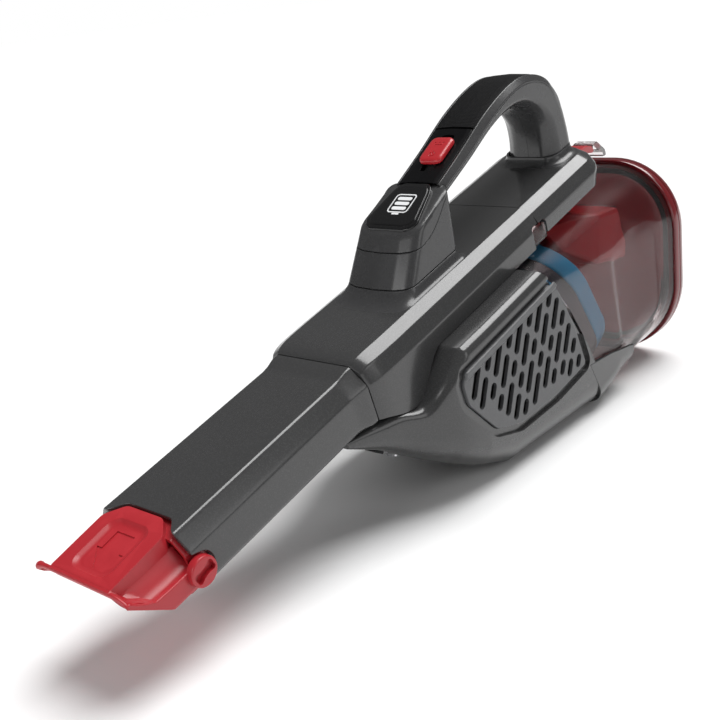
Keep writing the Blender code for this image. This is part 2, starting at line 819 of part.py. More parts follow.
def bowl():
    outer = bowl_rings(0)
    inner = bowl_rings(-BOWL_WALL)
    ob = hoop("dust_bowl", outer + inner[::-1], SMOKE)
    hole = cutter(box("inlet_hole", nose, (-13 * MM, 13 * MM), (331 * MM, 351 * MM),
                      (-30 * MM, -9.5 * MM), SMOKE))
    cut(ob, hole)
    return ob


def door_ring(grow, y):
    half = DOOR_HALF + grow
    return between(half, (y, DOOR_TOP + grow), (y, DOOR_BOTTOM - grow),
                   (31 * MM + grow, 35 * MM + grow), (41 * MM + grow, 41 * MM + grow), rest, 5)


def door():
    pivot = rest(0, HINGE_Y, HINGE_Z)
    y0 = DOOR_Y
    y1 = DOOR_Y + DOOR_DEPTH
    frame = [door_ring(0, y0), door_ring(0, y1 - 3 * MM), door_ring(-2 * MM, y1),
             door_ring(-6 * MM, y1), door_ring(-6 * MM, y0)]
    hoop("door_frame", frame, RED, pivot)
    panel = [door_ring(-6.4 * MM, y0 + 3 * MM), door_ring(-6.4 * MM, y1 - 1 * MM),
             door_ring(-14 * MM, y1 + 2.4 * MM), door_ring(-24 * MM, y1 + 4 * MM)]
    inner = [door_ring(-24 * MM, y1 + 2 * MM), door_ring(-14.4 * MM, y1 + 0.4 * MM),
             door_ring(-8.4 * MM, y1 - 2.6 * MM), door_ring(-8.4 * MM, y0 + 3 * MM)]
    solid("door_panel", inner + panel, SMOKE, pivot)
    seal = [door_ring(-6.6 * MM, y0 + 0.2 * MM), door_ring(-6.6 * MM, y0 + 2.6 * MM),
            door_ring(-9.4 * MM, y0 + 2.6 * MM), door_ring(-9.4 * MM, y0 + 0.2 * MM)]
    hoop("door_seal", seal, RUBBER, pivot)
    rings = []
    for x in (-14.0, 14.0):
        rings.append([rest(x * MM, HINGE_Y + u, HINGE_Z + v) for u, v in circle(0.9 * MM, 12)])
    solid("door_hinge_pin", rings, STEEL)


LATCH_Y = 398.0
LATCH_Z = -6.0


def latch():
    """Red lever behind the handle foot that hooks over the top of the door."""
    pivot = nose(0, LATCH_Y * MM, LATCH_Z * MM)
    profile = ((392.0, -2.4), (394.0, -1.0), (411.0, -2.4), (419.0, -6.0), (420.5, -9.5),
               (418.0, -10.5), (408.5, -7.4), (400.5, -3.6))
    rings = [[nose(x * MM, y * MM, z * MM) for y, z in profile] for x in (-9.0, 9.0)]
    solid("door_latch", rings, RED, pivot)
    rings = []
    for x in (-11.0, 11.0):
        rings.append([nose(x * MM, LATCH_Y * MM + u, LATCH_Z * MM + v)
                      for u, v in circle(1.2 * MM, 12)])
    solid("latch_pin", rings, STEEL)
    for side, name in ((1, "latch_lug_right"), (-1, "latch_lug_left")):
        pts = ((393.0, -17.5), (404.0, -18.2), (402.0, -8.0), (396.0, -8.0))
        xs = sorted((side * 9.6, side * 10.6))
        rings = [[nose(x * MM, y * MM, z * MM) for y, z in pts] for x in xs]
        solid(name, rings, CLEAR)
    hook = ((424.0, -19.2), (436.0, -22.2), (436.5, -18.5), (430.0, -12.0), (424.5, -11.4))
    rings = [[nose(x * MM, y * MM, z * MM) for y, z in hook] for x in (-7.0, 7.0)]
    solid("door_catch", rings, CLEAR, rest(0, HINGE_Y, HINGE_Z))


# ---------------------------------------------------------------- air path inside

def filter_outline(grow, s):
    """Rounded square that follows the bowl at distance s behind the seam."""
    top = 37.0 * MM - s * 0.2
    pts = rounded(44.5 * MM + grow, top + grow, -56.0 * MM - grow,
                  (20 * MM, 20 * MM), (22 * MM, 22 * MM), 5)
    return [seam(x, v, s) for x, v in pts]


def filter_disc(r, s, v0=-4.0 * MM):
    return [seam(x, v + v0, s) for x, v in phased(r)]


def phased(r):
    """Circle with its points near the corners of the rounded outlines."""
    out = []
    for q in range(4):
        for i in range(6):
            a = math.radians(90 * q + 15 + 60 * i / 5)
            out.append((r * math.cos(a), r * math.sin(a)))
    return out


def filters():
    frame = [filter_outline(0, 1.0 * MM), filter_outline(0, 17.5 * MM),
             filter_disc(31 * MM, 17.5 * MM), filter_disc(31 * MM, 15.5 * MM),
             filter_outline(-2 * MM, 15.5 * MM), filter_outline(-2 * MM, 1.0 * MM)]
    hoop("filter_frame", frame, DARK)
    seal = [filter_outline(0.4 * MM, 18.0 * MM), filter_outline(0.4 * MM, 28.0 * MM),
            filter_outline(-3.6 * MM, 28.0 * MM), filter_outline(-3.6 * MM, 18.0 * MM)]
    hoop("filter_ring", seal, BLUE)
    dome = [filter_disc(27.0 * MM, 41.5 * MM), filter_disc(28.9 * MM, 40 * MM),
            filter_disc(28.9 * MM, 15.6 * MM), filter_disc(30.7 * MM, 15.6 * MM),
            filter_disc(30.7 * MM, 40.5 * MM), filter_disc(28 * MM, 43.5 * MM)]
    solid("filter_cloth", dome, RUBBER)


def air_ducts():
    def across(y, z0, z1, half, grow):
        pts = rounded(half * MM + grow, z1 * MM + grow, z0 * MM - grow, (3 * MM, 3 * MM),
                      (3 * MM, 3 * MM), 2)
        return upright(pts, y * MM)

    w = 1.4 * MM
    outer = [across(149, -18.0, 1.4, 25.0, 0), across(176, -10.6, 4.8, 25.0, 0),
             across(300, -10.6, 4.8, 25.0, 0)]
    inner = [across(300, -10.6, 4.8, 25.0, -w), across(176, -10.6, 4.8, 25.0, -w),
             across(149, -18.0, 1.4, 25.0, -w)]
    hoop("transfer_duct", outer + inner, DARK)

    def bend(y, z, lean, half, tall, grow):
        pts = rounded(half * MM + grow, tall / 2 * MM + grow, -tall / 2 * MM - grow,
                      (3 * MM, 3 * MM), (3 * MM, 3 * MM), 2)
        a = math.radians(lean)
        return [nose(x, y * MM + v * math.sin(a), z * MM + v * math.cos(a)) for x, v in pts]
    w = 1.5 * MM
    path = ((341, -22.0, 88, 15, 22), (347, -33.0, 60, 22, 26), (362, -44.0, 22, 30, 30),
            (384, -51.0, 0, 33, 34))
    outer = [bend(*step, 0) for step in path]
    inner = [bend(*step, -w) for step in path]
    hoop("inlet_duct", outer + inner[::-1], RED)
    pivot = nose(0, 385.4 * MM, -34.6 * MM)
    flap = [[nose(x * MM, y * MM, z * MM) for y, z in
             ((384.8, -34.4), (386.0, -34.4), (386.0, -66.0), (384.8, -66.0))] for x in (-31, 31)]
    solid("inlet_flap", flap, RUBBER, pivot)


# ---------------------------------------------------------------- motor and battery

def turned(name, profile, finish, n=24, origin=None, hole=True):
    """Revolve (radius, s) steps about the suction axis."""
    rings = [[seam(x, v, s * MM) for x, v in circle(r * MM, n)] for r, s in profile]
    if hole:
        return hoop(name, rings, finish, origin)
    return solid(name, rings, finish, origin)


def suction_unit():
    axis = seam(0, 0, -14 * MM)
    turned("motor_can", ((2.4, -64), (16.4, -64), (18, -62.5), (18, -27), (2.4, -27)), STEEL)
    turned("motor_mount", ((18.4, -46), (21.5, -46), (21.5, -39), (18.4, -39)), RUBBER)
    turned("fan_housing", ((7, -24.5), (40, -24.5), (40, -4), (37.4, -4), (37.4, -21.9),
                           (7, -21.9)), DARK, 28)
    turned("motor_shaft", ((1.7, -66), (1.7, -6)), STEEL, 12, axis, False)
    blades = 9
    n = blades * 4
    star = []
    bore = []
    for i in range(n):
        a = 2 * math.pi * i / n
        r = FAN_R if i % 4 in (0, 1) else 11 * MM
        twist = 0.5 if r == FAN_R else 0.0
        star.append((r * math.cos(a + twist), r * math.sin(a + twist)))
        bore.append((2.1 * MM * math.cos(a), 2.1 * MM * math.sin(a)))
    rings = [[seam(x, v, -19.5 * MM) for x, v in star], [seam(x, v, -8.5 * MM) for x, v in star],
             [seam(x, v, -8.5 * MM) for x, v in bore], [seam(x, v, -19.5 * MM) for x, v in bore]]
    hoop("impeller", rings, DARK, axis)


def battery():
    for i, (y, z) in enumerate(((180.0, -48.0), (197.5, -38.5), (203.0, -60.0))):
        rings = []
        for x in (-CELL_LENGTH / 2, CELL_LENGTH / 2):
            rings.append([nose(x, y * MM + u, z * MM + v) for u, v in circle(CELL_R, 20)])
        solid("battery_cell_%d" % (i + 1), rings, CELL)
    box("battery_wall", nose, (-38 * MM, 38 * MM), (214.0 * MM, 215.8 * MM),
        (-84 * MM, -16 * MM), DARK)
    box("control_board", nose, (-14 * MM, 14 * MM), (212 * MM, 240 * MM),
        (17.0 * MM, 18.6 * MM), BOARD)


def screws():
    spots = ((13.0, 165.26, -59.05), (-13.0, 165.26, -59.05))
    for i, (x, y, z) in enumerate(spots):
        rings = []
        a = math.radians(45)
        for r, d in ((3.2, 0.0), (3.2, -0.8), (2.2, -1.5)):
            ring = []
            for u, v in circle(r, 14):
                yy = y + v * math.cos(a) + d * math.sin(a)
                zz = z - v * math.sin(a) + d * math.cos(a)
                ring.append(nose((x + u) * MM, yy * MM, zz * MM))
            rings.append(ring)
        solid("screw_belly_%d" % (i + 1), rings, STEEL)


def clear_scene():
    for ob in list(bpy.data.objects):
        bpy.data.objects.remove(ob, do_unlink=True)


def build():
    clear_scene()
    nozzle_duct()
    nozzle_tip()
    tip_pad()
    tip_bosses()
    brush()
    upper_shell()
    rear_cover()
    release_buttons()
    tower_ring("tower_collar", DECK + 0.3 * MM, 14.0 * MM)
    tower_ring("tower_band", 14.3 * MM, 28.1 * MM)
    tower_head()
    indicator()
    handle_half("handle_right", 1)
    handle_half("handle_left", -1)
    switch()
    handle_strip("grip_insert", 1.58, GRIP_LAST - 0.03, RUBBER)
    motor_housing()
    grille(1, "grille_right")
    grille(-1, "grille_left")
    charging_socket()
    rear_cradle()
    bowl()
    door()
    latch()
    filters()
    air_ducts()
    suction_unit()
    battery()
    screws()


build()
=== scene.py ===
import math

import bpy
import bmesh
from mathutils import Matrix, Vector


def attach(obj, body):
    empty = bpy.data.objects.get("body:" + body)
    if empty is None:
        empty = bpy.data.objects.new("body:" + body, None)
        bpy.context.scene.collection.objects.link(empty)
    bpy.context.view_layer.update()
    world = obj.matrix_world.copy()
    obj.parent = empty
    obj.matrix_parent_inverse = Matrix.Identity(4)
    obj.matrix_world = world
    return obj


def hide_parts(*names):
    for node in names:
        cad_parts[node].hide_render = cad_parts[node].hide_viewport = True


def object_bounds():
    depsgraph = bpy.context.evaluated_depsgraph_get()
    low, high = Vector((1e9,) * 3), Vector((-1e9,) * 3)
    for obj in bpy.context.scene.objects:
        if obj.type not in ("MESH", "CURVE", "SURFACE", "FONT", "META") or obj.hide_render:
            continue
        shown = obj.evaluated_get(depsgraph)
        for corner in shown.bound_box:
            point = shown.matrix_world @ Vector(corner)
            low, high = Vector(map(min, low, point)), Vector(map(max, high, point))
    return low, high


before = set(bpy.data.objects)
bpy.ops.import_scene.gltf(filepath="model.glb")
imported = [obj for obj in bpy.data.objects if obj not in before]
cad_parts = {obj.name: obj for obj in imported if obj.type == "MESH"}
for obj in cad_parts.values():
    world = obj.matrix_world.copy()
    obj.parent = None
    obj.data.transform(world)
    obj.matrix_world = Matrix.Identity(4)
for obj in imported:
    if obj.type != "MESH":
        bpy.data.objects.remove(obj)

for name in ("Cube", "Light", "Camera"):   # what a new file starts with
    if name in bpy.data.objects:
        bpy.data.objects.remove(bpy.data.objects[name])
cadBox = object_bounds()

scene = bpy.context.scene
scene.view_settings.view_transform = "Standard"
mm = 0.001

stance = {
    "pitch": 14.0,        # nozzle axis against the flat belly, degrees
    "lipHeight": 45.5,    # nozzle lip above the ground, mm
    "lipAhead": 216.2,    # nozzle lip in front of the middle of the tool, mm
    "seamLean": 18.3,     # suction axis against the nozzle axis, degrees
    "handleSlope": 16.1,  # straight front of the handle, degrees
    "seamFoot": (288.0, -58.0),    # where the suction axis starts, y and z square to the nozzle
    "handleFoot": (252.3, 46.0),   # where the handle leaves the tower
}


# Three ways to say where a point is, all in millimetres: square to the nozzle, square to the ground, and
# along the suction axis of the fan and filter.
def noseAt(x, y, z):
    a = math.radians(stance["pitch"])
    back = y * math.cos(a) - z * math.sin(a) - stance["lipAhead"]
    up = y * math.sin(a) + z * math.cos(a) + stance["lipHeight"]
    return Vector((x, back, up)) * mm


def restAt(x, y, z):
    return Vector((x, y - stance["lipAhead"], z)) * mm


def leaning(x, foot, lean, along, up):
    a = math.radians(stance[lean])
    y, z = stance[foot]
    return noseAt(x, y + along * math.cos(a) - up * math.sin(a), z + along * math.sin(a) + up * math.cos(a))


def seamAt(x, v, s):
    return leaning(x, "seamFoot", "seamLean", s, v)


def slopeAt(x, along, up):
    return leaning(x, "handleFoot", "handleSlope", along, up)


def ease(t):
    t = min(1.0, max(0.0, t))
    return t * t * (3 - 2 * t)


# drawing helpers

def smoothRows(rows, per=4):
    # a curve through rows of numbers, per steps between each pair
    out = []
    last = len(rows) - 1
    for k in range(last):
        a, b, c, d = rows[max(k - 1, 0)], rows[k], rows[k + 1], rows[min(k + 2, last)]
        for i in range(per):
            t = i / per
            row = []
            for p, q, r, s in zip(a, b, c, d):
                bend = 2 * q + (r - p) * t + (2 * p - 5 * q + 4 * r - s) * t * t
                row.append(0.5 * (bend + (3 * q - p - 3 * r + s) * t ** 3))
            out.append(tuple(row))
    out.append(tuple(rows[last]))
    return out


def softPath(points, closed=True, steps=5):
    # rounds each corner (u, v, radius)
    n = len(points)
    out = []
    for i, (u, v, r) in enumerate(points):
        if r <= 0 or (not closed and i in (0, n - 1)):
            out.append((u, v))
            continue
        here = Vector((u, v))
        before = Vector(points[i - 1][:2]) - here
        after = Vector(points[(i + 1) % n][:2]) - here
        angle = before.angle(after, math.pi)
        room = []   # a run is shared when the corner at its other end is rounded too
        for run, k in ((before, i - 1), (after, i + 1)):
            room.append(run.length * (0.49 if points[k % n][2] > 0 else 0.97))
        reach = min(r / math.tan(max(angle, 0.05) / 2), *room)
        a = here + before.normalized() * reach
        b = here + after.normalized() * reach
        straight = math.pi - angle < 0.05
        if not straight:
            half = angle / 2
            middle = here + (before.normalized() + after.normalized()).normalized() * (reach / math.cos(half))
            p, q = a - middle, b - middle
            turn = math.atan2(p.x * q.y - p.y * q.x, p.dot(q))
        for k in range(steps + 1):
            t = k / steps
            if straight:
                spot = a + (b - a) * t
            else:
                c, d = math.cos(turn * t), math.sin(turn * t)
                spot = middle + Vector((p.x * c - p.y * d, p.x * d + p.y * c))
            out.append((spot.x, spot.y))
    return out


def splitPlan(path, gap):
    # how many parts each run of a path is split into, so that none is longer than gap
    return [max(1, int(math.dist(a, b) / gap + 0.5)) for a, b in zip(path, path[1:])]


def divide(path, plan):
    out = []
    for a, b, parts in zip(path, path[1:], plan):
        out += [(a[0] + (b[0] - a[0]) * k / parts, a[1] + (b[1] - a[1]) * k / parts) for k in range(parts)]
    return out + [path[-1]]


def mirrored(right):
    # closes a right half drawn from the bottom centre to the top centre
    return right + [(-x, z) for x, z in reversed(right) if abs(x) > 1e-6]


def roundBox(half, low, high, radius, steps=6, middle=0.0):
    corners = [(middle + half, low, radius), (middle + half, high, radius), (middle - half, high, radius),
               (middle - half, low, radius)]
    return softPath(corners, steps=steps)


def levelRing(path, z):
    return [noseAt(x, y, z) for x, y in path]


def crossRing(path, y):
    return [noseAt(x, y, z) for x, z in path]


def sideRing(path, x):
    return [noseAt(x, y, z) for y, z in path]


def circle(middleU, middleV, radius, turns):
    spots = []
    for i in range(turns):
        a = 2 * math.pi * i / turns
        spots.append((middleU + radius * math.cos(a), middleV + radius * math.sin(a)))
    return spots


def loft(rings, around=True, lids=(True, True), endless=False):
    n = len(rings[0])
    if any(len(ring) != n for ring in rings):
        raise ValueError("rings of different lengths: %s" % [len(ring) for ring in rings])
    verts = [v for ring in rings for v in ring]
    faces = []
    turns = len(rings) if endless else len(rings) - 1
    for k in range(turns):
        a = k * n
        b = ((k + 1) % len(rings)) * n
        for i in range(n if around else n - 1):
            j = (i + 1) % n
            faces.append((a + i, a + j, b + j, b + i))
    if not endless and lids[0]:
        faces.append(tuple(range(n - 1, -1, -1)))
    if not endless and lids[1]:
        faces.append(tuple(range((len(rings) - 1) * n, len(rings) * n)))
    return verts, faces


def rawPiece(name, verts, faces):
    mesh = bpy.data.meshes.new(name)
    mesh.from_pydata([tuple(v) for v in verts], [], faces)
    bm = bmesh.new()
    bm.from_mesh(mesh)
    bmesh.ops.remove_doubles(bm, verts=bm.verts, dist=2e-6)
    bmesh.ops.dissolve_degenerate(bm, edges=bm.edges, dist=1e-6)
    bmesh.ops.recalc_face_normals(bm, faces=bm.faces)
    bm.to_mesh(mesh)
    bm.free()
    piece = bpy.data.objects.new(name, mesh)
    scene.collection.objects.link(piece)
    return piece


def settle(piece):
    # turns the modifiers so far into the mesh itself
    bpy.context.view_layer.update()
    shaped = piece.evaluated_get(bpy.context.evaluated_depsgraph_get())
    mesh = bpy.data.meshes.new_from_object(shaped)
    piece.modifiers.clear()
    piece.data = mesh
    mesh.name = piece.name


def carve(piece, *tools):
    for tool in tools:
        step = piece.modifiers.new("carve", "BOOLEAN")
        step.operation = "DIFFERENCE"
        step.solver = "EXACT"
        step.object = tool
    settle(piece)
    for tool in tools:
        bpy.data.objects.remove(tool)


def finishPiece(piece, look, body, stands=(), slot=None, edge=0.0, segments=3, limit=32):
    if edge:
        step = piece.modifiers.new("edge", "BEVEL")
        step.width = edge * mm
        step.segments = segments
        step.limit_method = "ANGLE"
        step.angle_limit = math.radians(limit)
        step.harden_normals = False
        settle(piece)
    mesh = piece.data
    mesh.polygons.foreach_set("use_smooth", [True] * len(mesh.polygons))
    mesh.set_sharp_from_angle(angle=math.radians(42))
    mesh.materials.clear()
    mesh.materials.append(look)
    if edge:
        step = piece.modifiers.new("even", "WEIGHTED_NORMAL")   # keeps flats flat in the light
        step.keep_sharp = True
        settle(piece)
    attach(piece, body)
    if stands:
        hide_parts(*stands)
    return piece


def shell(name, rings, look, body, stands=(), slot=None, edge=0.0, **how):
    extra = {k: how.pop(k) for k in ("segments", "limit") if k in how}
    piece = rawPiece(name, *loft(rings, **how))
    return finishPiece(piece, look, body, stands, slot, edge, **extra)


# shared effects, each a node group placed in the materials that show it

def newGroup(name, inputs, outputs):
    group = bpy.data.node_groups.new(name, "ShaderNodeTree")
    for label, value in inputs:
        kind = "NodeSocketColor" if isinstance(value, tuple) else "NodeSocketFloat"
        socket = group.interface.new_socket(label, in_out="INPUT", socket_type=kind)
        socket.default_value = value
    for label, kind in outputs:
        group.interface.new_socket(label, in_out="OUTPUT", socket_type=kind)
    return group, group.nodes.new("NodeGroupInput"), group.nodes.new("NodeGroupOutput")


def mathNode(tree, operation, a, b=None, clamp=False):
    node = tree.nodes.new("ShaderNodeMath")
    node.operation = operation
    node.use_clamp = clamp
    for i, value in enumerate((a, b)):
        if isinstance(value, (int, float)):
            node.inputs[i].default_value = value
        elif value is not None:
            tree.links.new(value, node.inputs[i])
    return node.outputs[0]


def rangeNode(tree, value, low, high, start, end):
    node = tree.nodes.new("ShaderNodeMapRange")
    tree.links.new(value, node.inputs["Value"])
    node.inputs["From Min"].default_value = low
    node.inputs["From Max"].default_value = high
    for label, bound in (("To Min", start), ("To Max", end)):
        if isinstance(bound, (int, float)):
            node.inputs[label].default_value = bound
        else:
            tree.links.new(bound, node.inputs[label])
    return node.outputs[0]


def blendNode(tree, share, first, second):
    node = tree.nodes.new("ShaderNodeMix")
    node.data_type = "RGBA"
    for i, value in ((0, share), (6, first), (7, second)):
        if isinstance(value, tuple):
            node.inputs[i].default_value = value
        else:
            tree.links.new(value, node.inputs[i])
    return node.outputs[2]


def bumpNode(tree, height, strength, depth):
    node = tree.nodes.new("ShaderNodeBump")
    node.inputs["Strength"].default_value = strength
    node.inputs["Distance"].default_value = depth * mm
    tree.links.new(height, node.inputs["Height"])
    return node


def noiseNode(tree, vector, scale, detail=3.0, rough=0.55):
    node = tree.nodes.new("ShaderNodeTexNoise")
    tree.links.new(vector, node.inputs["Vector"])
    if isinstance(scale, (int, float)):
        node.inputs["Scale"].default_value = scale
    else:
        tree.links.new(scale, node.inputs["Scale"])
    node.inputs["Detail"].default_value = detail
    node.inputs["Roughness"].default_value = rough
    return node.outputs["Fac"]


def makeMouldGrain():
    # fine moulded grain with a slow waviness under it
    group, into, out = newGroup("mouldGrain", (("Scale", 900.0), ("Wave", 0.3)),
                                (("Height", "NodeSocketFloat"), ("Mottle", "NodeSocketFloat")))
    place = group.nodes.new("ShaderNodeTexCoord").outputs["Object"]
    fine = noiseNode(group, place, into.outputs["Scale"], 2.0)
    slow = noiseNode(group, place, 24.0, 2.0)
    waved = mathNode(group, "MULTIPLY", slow, into.outputs["Wave"])
    group.links.new(mathNode(group, "ADD", fine, waved), out.inputs["Height"])
    group.links.new(noiseNode(group, place, 60.0, 4.0, 0.6), out.inputs["Mottle"])
    return group


def makeEdgeWear():
    # outer edges rubbed a little lighter, in broken patches
    group, into, out = newGroup("edgeWear", (("Amount", 0.3), ("Tone", (0.2, 0.2, 0.2, 1.0)),
                                             ("Base", (0.05, 0.05, 0.05, 1.0))),
                                (("Color", "NodeSocketColor"), ("Mask", "NodeSocketFloat")))
    sharp = group.nodes.new("ShaderNodeNewGeometry").outputs["Pointiness"]
    place = group.nodes.new("ShaderNodeTexCoord").outputs["Object"]
    ridge = rangeNode(group, sharp, 0.52, 0.62, 0.0, 1.0)
    patchy = rangeNode(group, noiseNode(group, place, 140.0, 4.0), 0.38, 0.62, 0.25, 1.0)
    mask = mathNode(group, "MULTIPLY", mathNode(group, "MULTIPLY", ridge, patchy), into.outputs["Amount"])
    group.links.new(blendNode(group, mask, into.outputs["Base"], into.outputs["Tone"]), out.inputs["Color"])
    group.links.new(mask, out.inputs["Mask"])
    return group


def makePearlFleck():
    # the plastic has fine light flecks in it, which show where it catches light
    group, into, out = newGroup("pearlFleck", (("Scale", 2600.0), ("Strength", 0.3),
                                               ("Base", (0.05, 0.05, 0.05, 1.0)),
                                               ("Fleck", (0.2, 0.2, 0.21, 1.0))),
                                (("Color", "NodeSocketColor"),))
    place = group.nodes.new("ShaderNodeTexCoord").outputs["Object"]
    cells = group.nodes.new("ShaderNodeTexVoronoi")
    group.links.new(place, cells.inputs["Vector"])
    group.links.new(into.outputs["Scale"], cells.inputs["Scale"])
    split = group.nodes.new("ShaderNodeSeparateColor")
    group.links.new(cells.outputs["Color"], split.inputs[0])
    bright = rangeNode(group, split.outputs[0], 0.55, 1.0, 0.0, into.outputs["Strength"])
    blend = blendNode(group, bright, into.outputs["Base"], into.outputs["Fleck"])
    group.links.new(blend, out.inputs["Color"])
    return group


mouldGrain = makeMouldGrain()
edgeWear = makeEdgeWear()
pearlFleck = makePearlFleck()


def placeGroup(tree, group, **values):
    node = tree.nodes.new("ShaderNodeGroup")
    node.node_tree = group
    for label, value in values.items():
        if isinstance(value, (int, float, tuple)):
            node.inputs[label].default_value = value
        else:
            tree.links.new(value, node.inputs[label])
    return node


def plastic(name, colour, rough=0.25, grain=900.0, depth=0.02, wave=0.3, wear=0.25, fleck=0.0, coat=0.0,
            spread=0.06, sheen=0.0, tone=None, shine=0.5):
    look = bpy.data.materials.new(name)
    look.use_nodes = True
    tree = look.node_tree
    shader = tree.nodes["Principled BSDF"]
    base = (*colour, 1.0)
    lighter = tone or tuple(min(1.0, c * 1.9 + 0.03) for c in colour)
    skin = placeGroup(tree, mouldGrain, Scale=grain, Wave=wave)
    worn = placeGroup(tree, edgeWear, Amount=wear, Tone=(*lighter, 1.0), Base=base)
    if fleck:
        bright = (*[c * 2.4 for c in colour], 1.0)
        pearl = placeGroup(tree, pearlFleck, Strength=fleck, Base=base, Fleck=bright)
        tree.links.new(pearl.outputs["Color"], worn.inputs["Base"])
    tree.links.new(worn.outputs["Color"], shader.inputs["Base Color"])
    gloss = rangeNode(tree, skin.outputs["Mottle"], 0.3, 0.7, rough - spread / 2, rough + spread / 2)
    tree.links.new(mathNode(tree, "ADD", gloss, mathNode(tree, "MULTIPLY", worn.outputs["Mask"], 0.15), True),
                   shader.inputs["Roughness"])
    bump = bumpNode(tree, skin.outputs["Height"], 0.5, depth)
    tree.links.new(bump.outputs["Normal"], shader.inputs["Normal"])
    shader.inputs["Coat Weight"].default_value = coat
    shader.inputs["Coat Roughness"].default_value = 0.08
    shader.inputs["Sheen Weight"].default_value = sheen
    shader.inputs["Specular IOR Level"].default_value = shine
    return look


def metal(name, colour, rough=0.25, grain=1500.0):
    look = plastic(name, colour, rough, grain, 0.01, 0.2, 0.1, 0.0, 0.0, 0.1)
    look.node_tree.nodes["Principled BSDF"].inputs["Metallic"].default_value = 1.0
    return look


def clearPlastic(name, tint, haze=0.1, dusty=0.05, through=1.0, bend=1.45):
    look = bpy.data.materials.new(name)
    look.use_nodes = True
    tree = look.node_tree
    shader = tree.nodes["Principled BSDF"]
    skin = placeGroup(tree, mouldGrain, Scale=200.0, Wave=1.0)
    shade = blendNode(tree, skin.outputs["Mottle"], (*tint, 1.0), (*[c * 0.9 for c in tint], 1.0))
    tree.links.new(shade, shader.inputs["Base Color"])
    tree.links.new(rangeNode(tree, skin.outputs["Mottle"], 0.3, 0.75, haze, haze + dusty),
                   shader.inputs["Roughness"])
    bump = bumpNode(tree, skin.outputs["Height"], 0.1, 0.002)
    tree.links.new(bump.outputs["Normal"], shader.inputs["Normal"])
    shader.inputs["Transmission Weight"].default_value = through
    shader.inputs["IOR"].default_value = bend
    shader.inputs["Coat Weight"].default_value = 0.4
    shader.inputs["Coat Roughness"].default_value = 0.16
    return look


def knurled(name, colour, size, depth, rough):
    # soft rubber with a small diamond pattern moulded in
    look = plastic(name, colour, rough, 2200.0, 0.02, 0.1, 0.2, 0.0, 0.0, 0.1, 0.0, None, 0.1)
    tree = look.node_tree
    place = tree.nodes.new("ShaderNodeTexCoord").outputs["Object"]
    split = tree.nodes.new("ShaderNodeSeparateXYZ")
    tree.links.new(place, split.inputs[0])
    waves = []
    for sign in (1, -1):
        lean = mathNode(tree, "ADD", mathNode(tree, "MULTIPLY", split.outputs[0], sign), split.outputs[1])
        waves.append(mathNode(tree, "SINE", mathNode(tree, "MULTIPLY", lean, 2 * math.pi / (size * mm))))
    diamonds = mathNode(tree, "MULTIPLY", waves[0], waves[1])
    raised = rangeNode(tree, diamonds, -0.2, 0.6, 0.0, 1.0)
    bump = bumpNode(tree, raised, 0.9, depth)
    fine = [n for n in tree.nodes if n.type == "BUMP" and n != bump][0]
    tree.links.new(fine.outputs["Normal"], bump.inputs["Normal"])
    tree.links.new(bump.outputs["Normal"], tree.nodes["Principled BSDF"].inputs["Normal"])
    return look


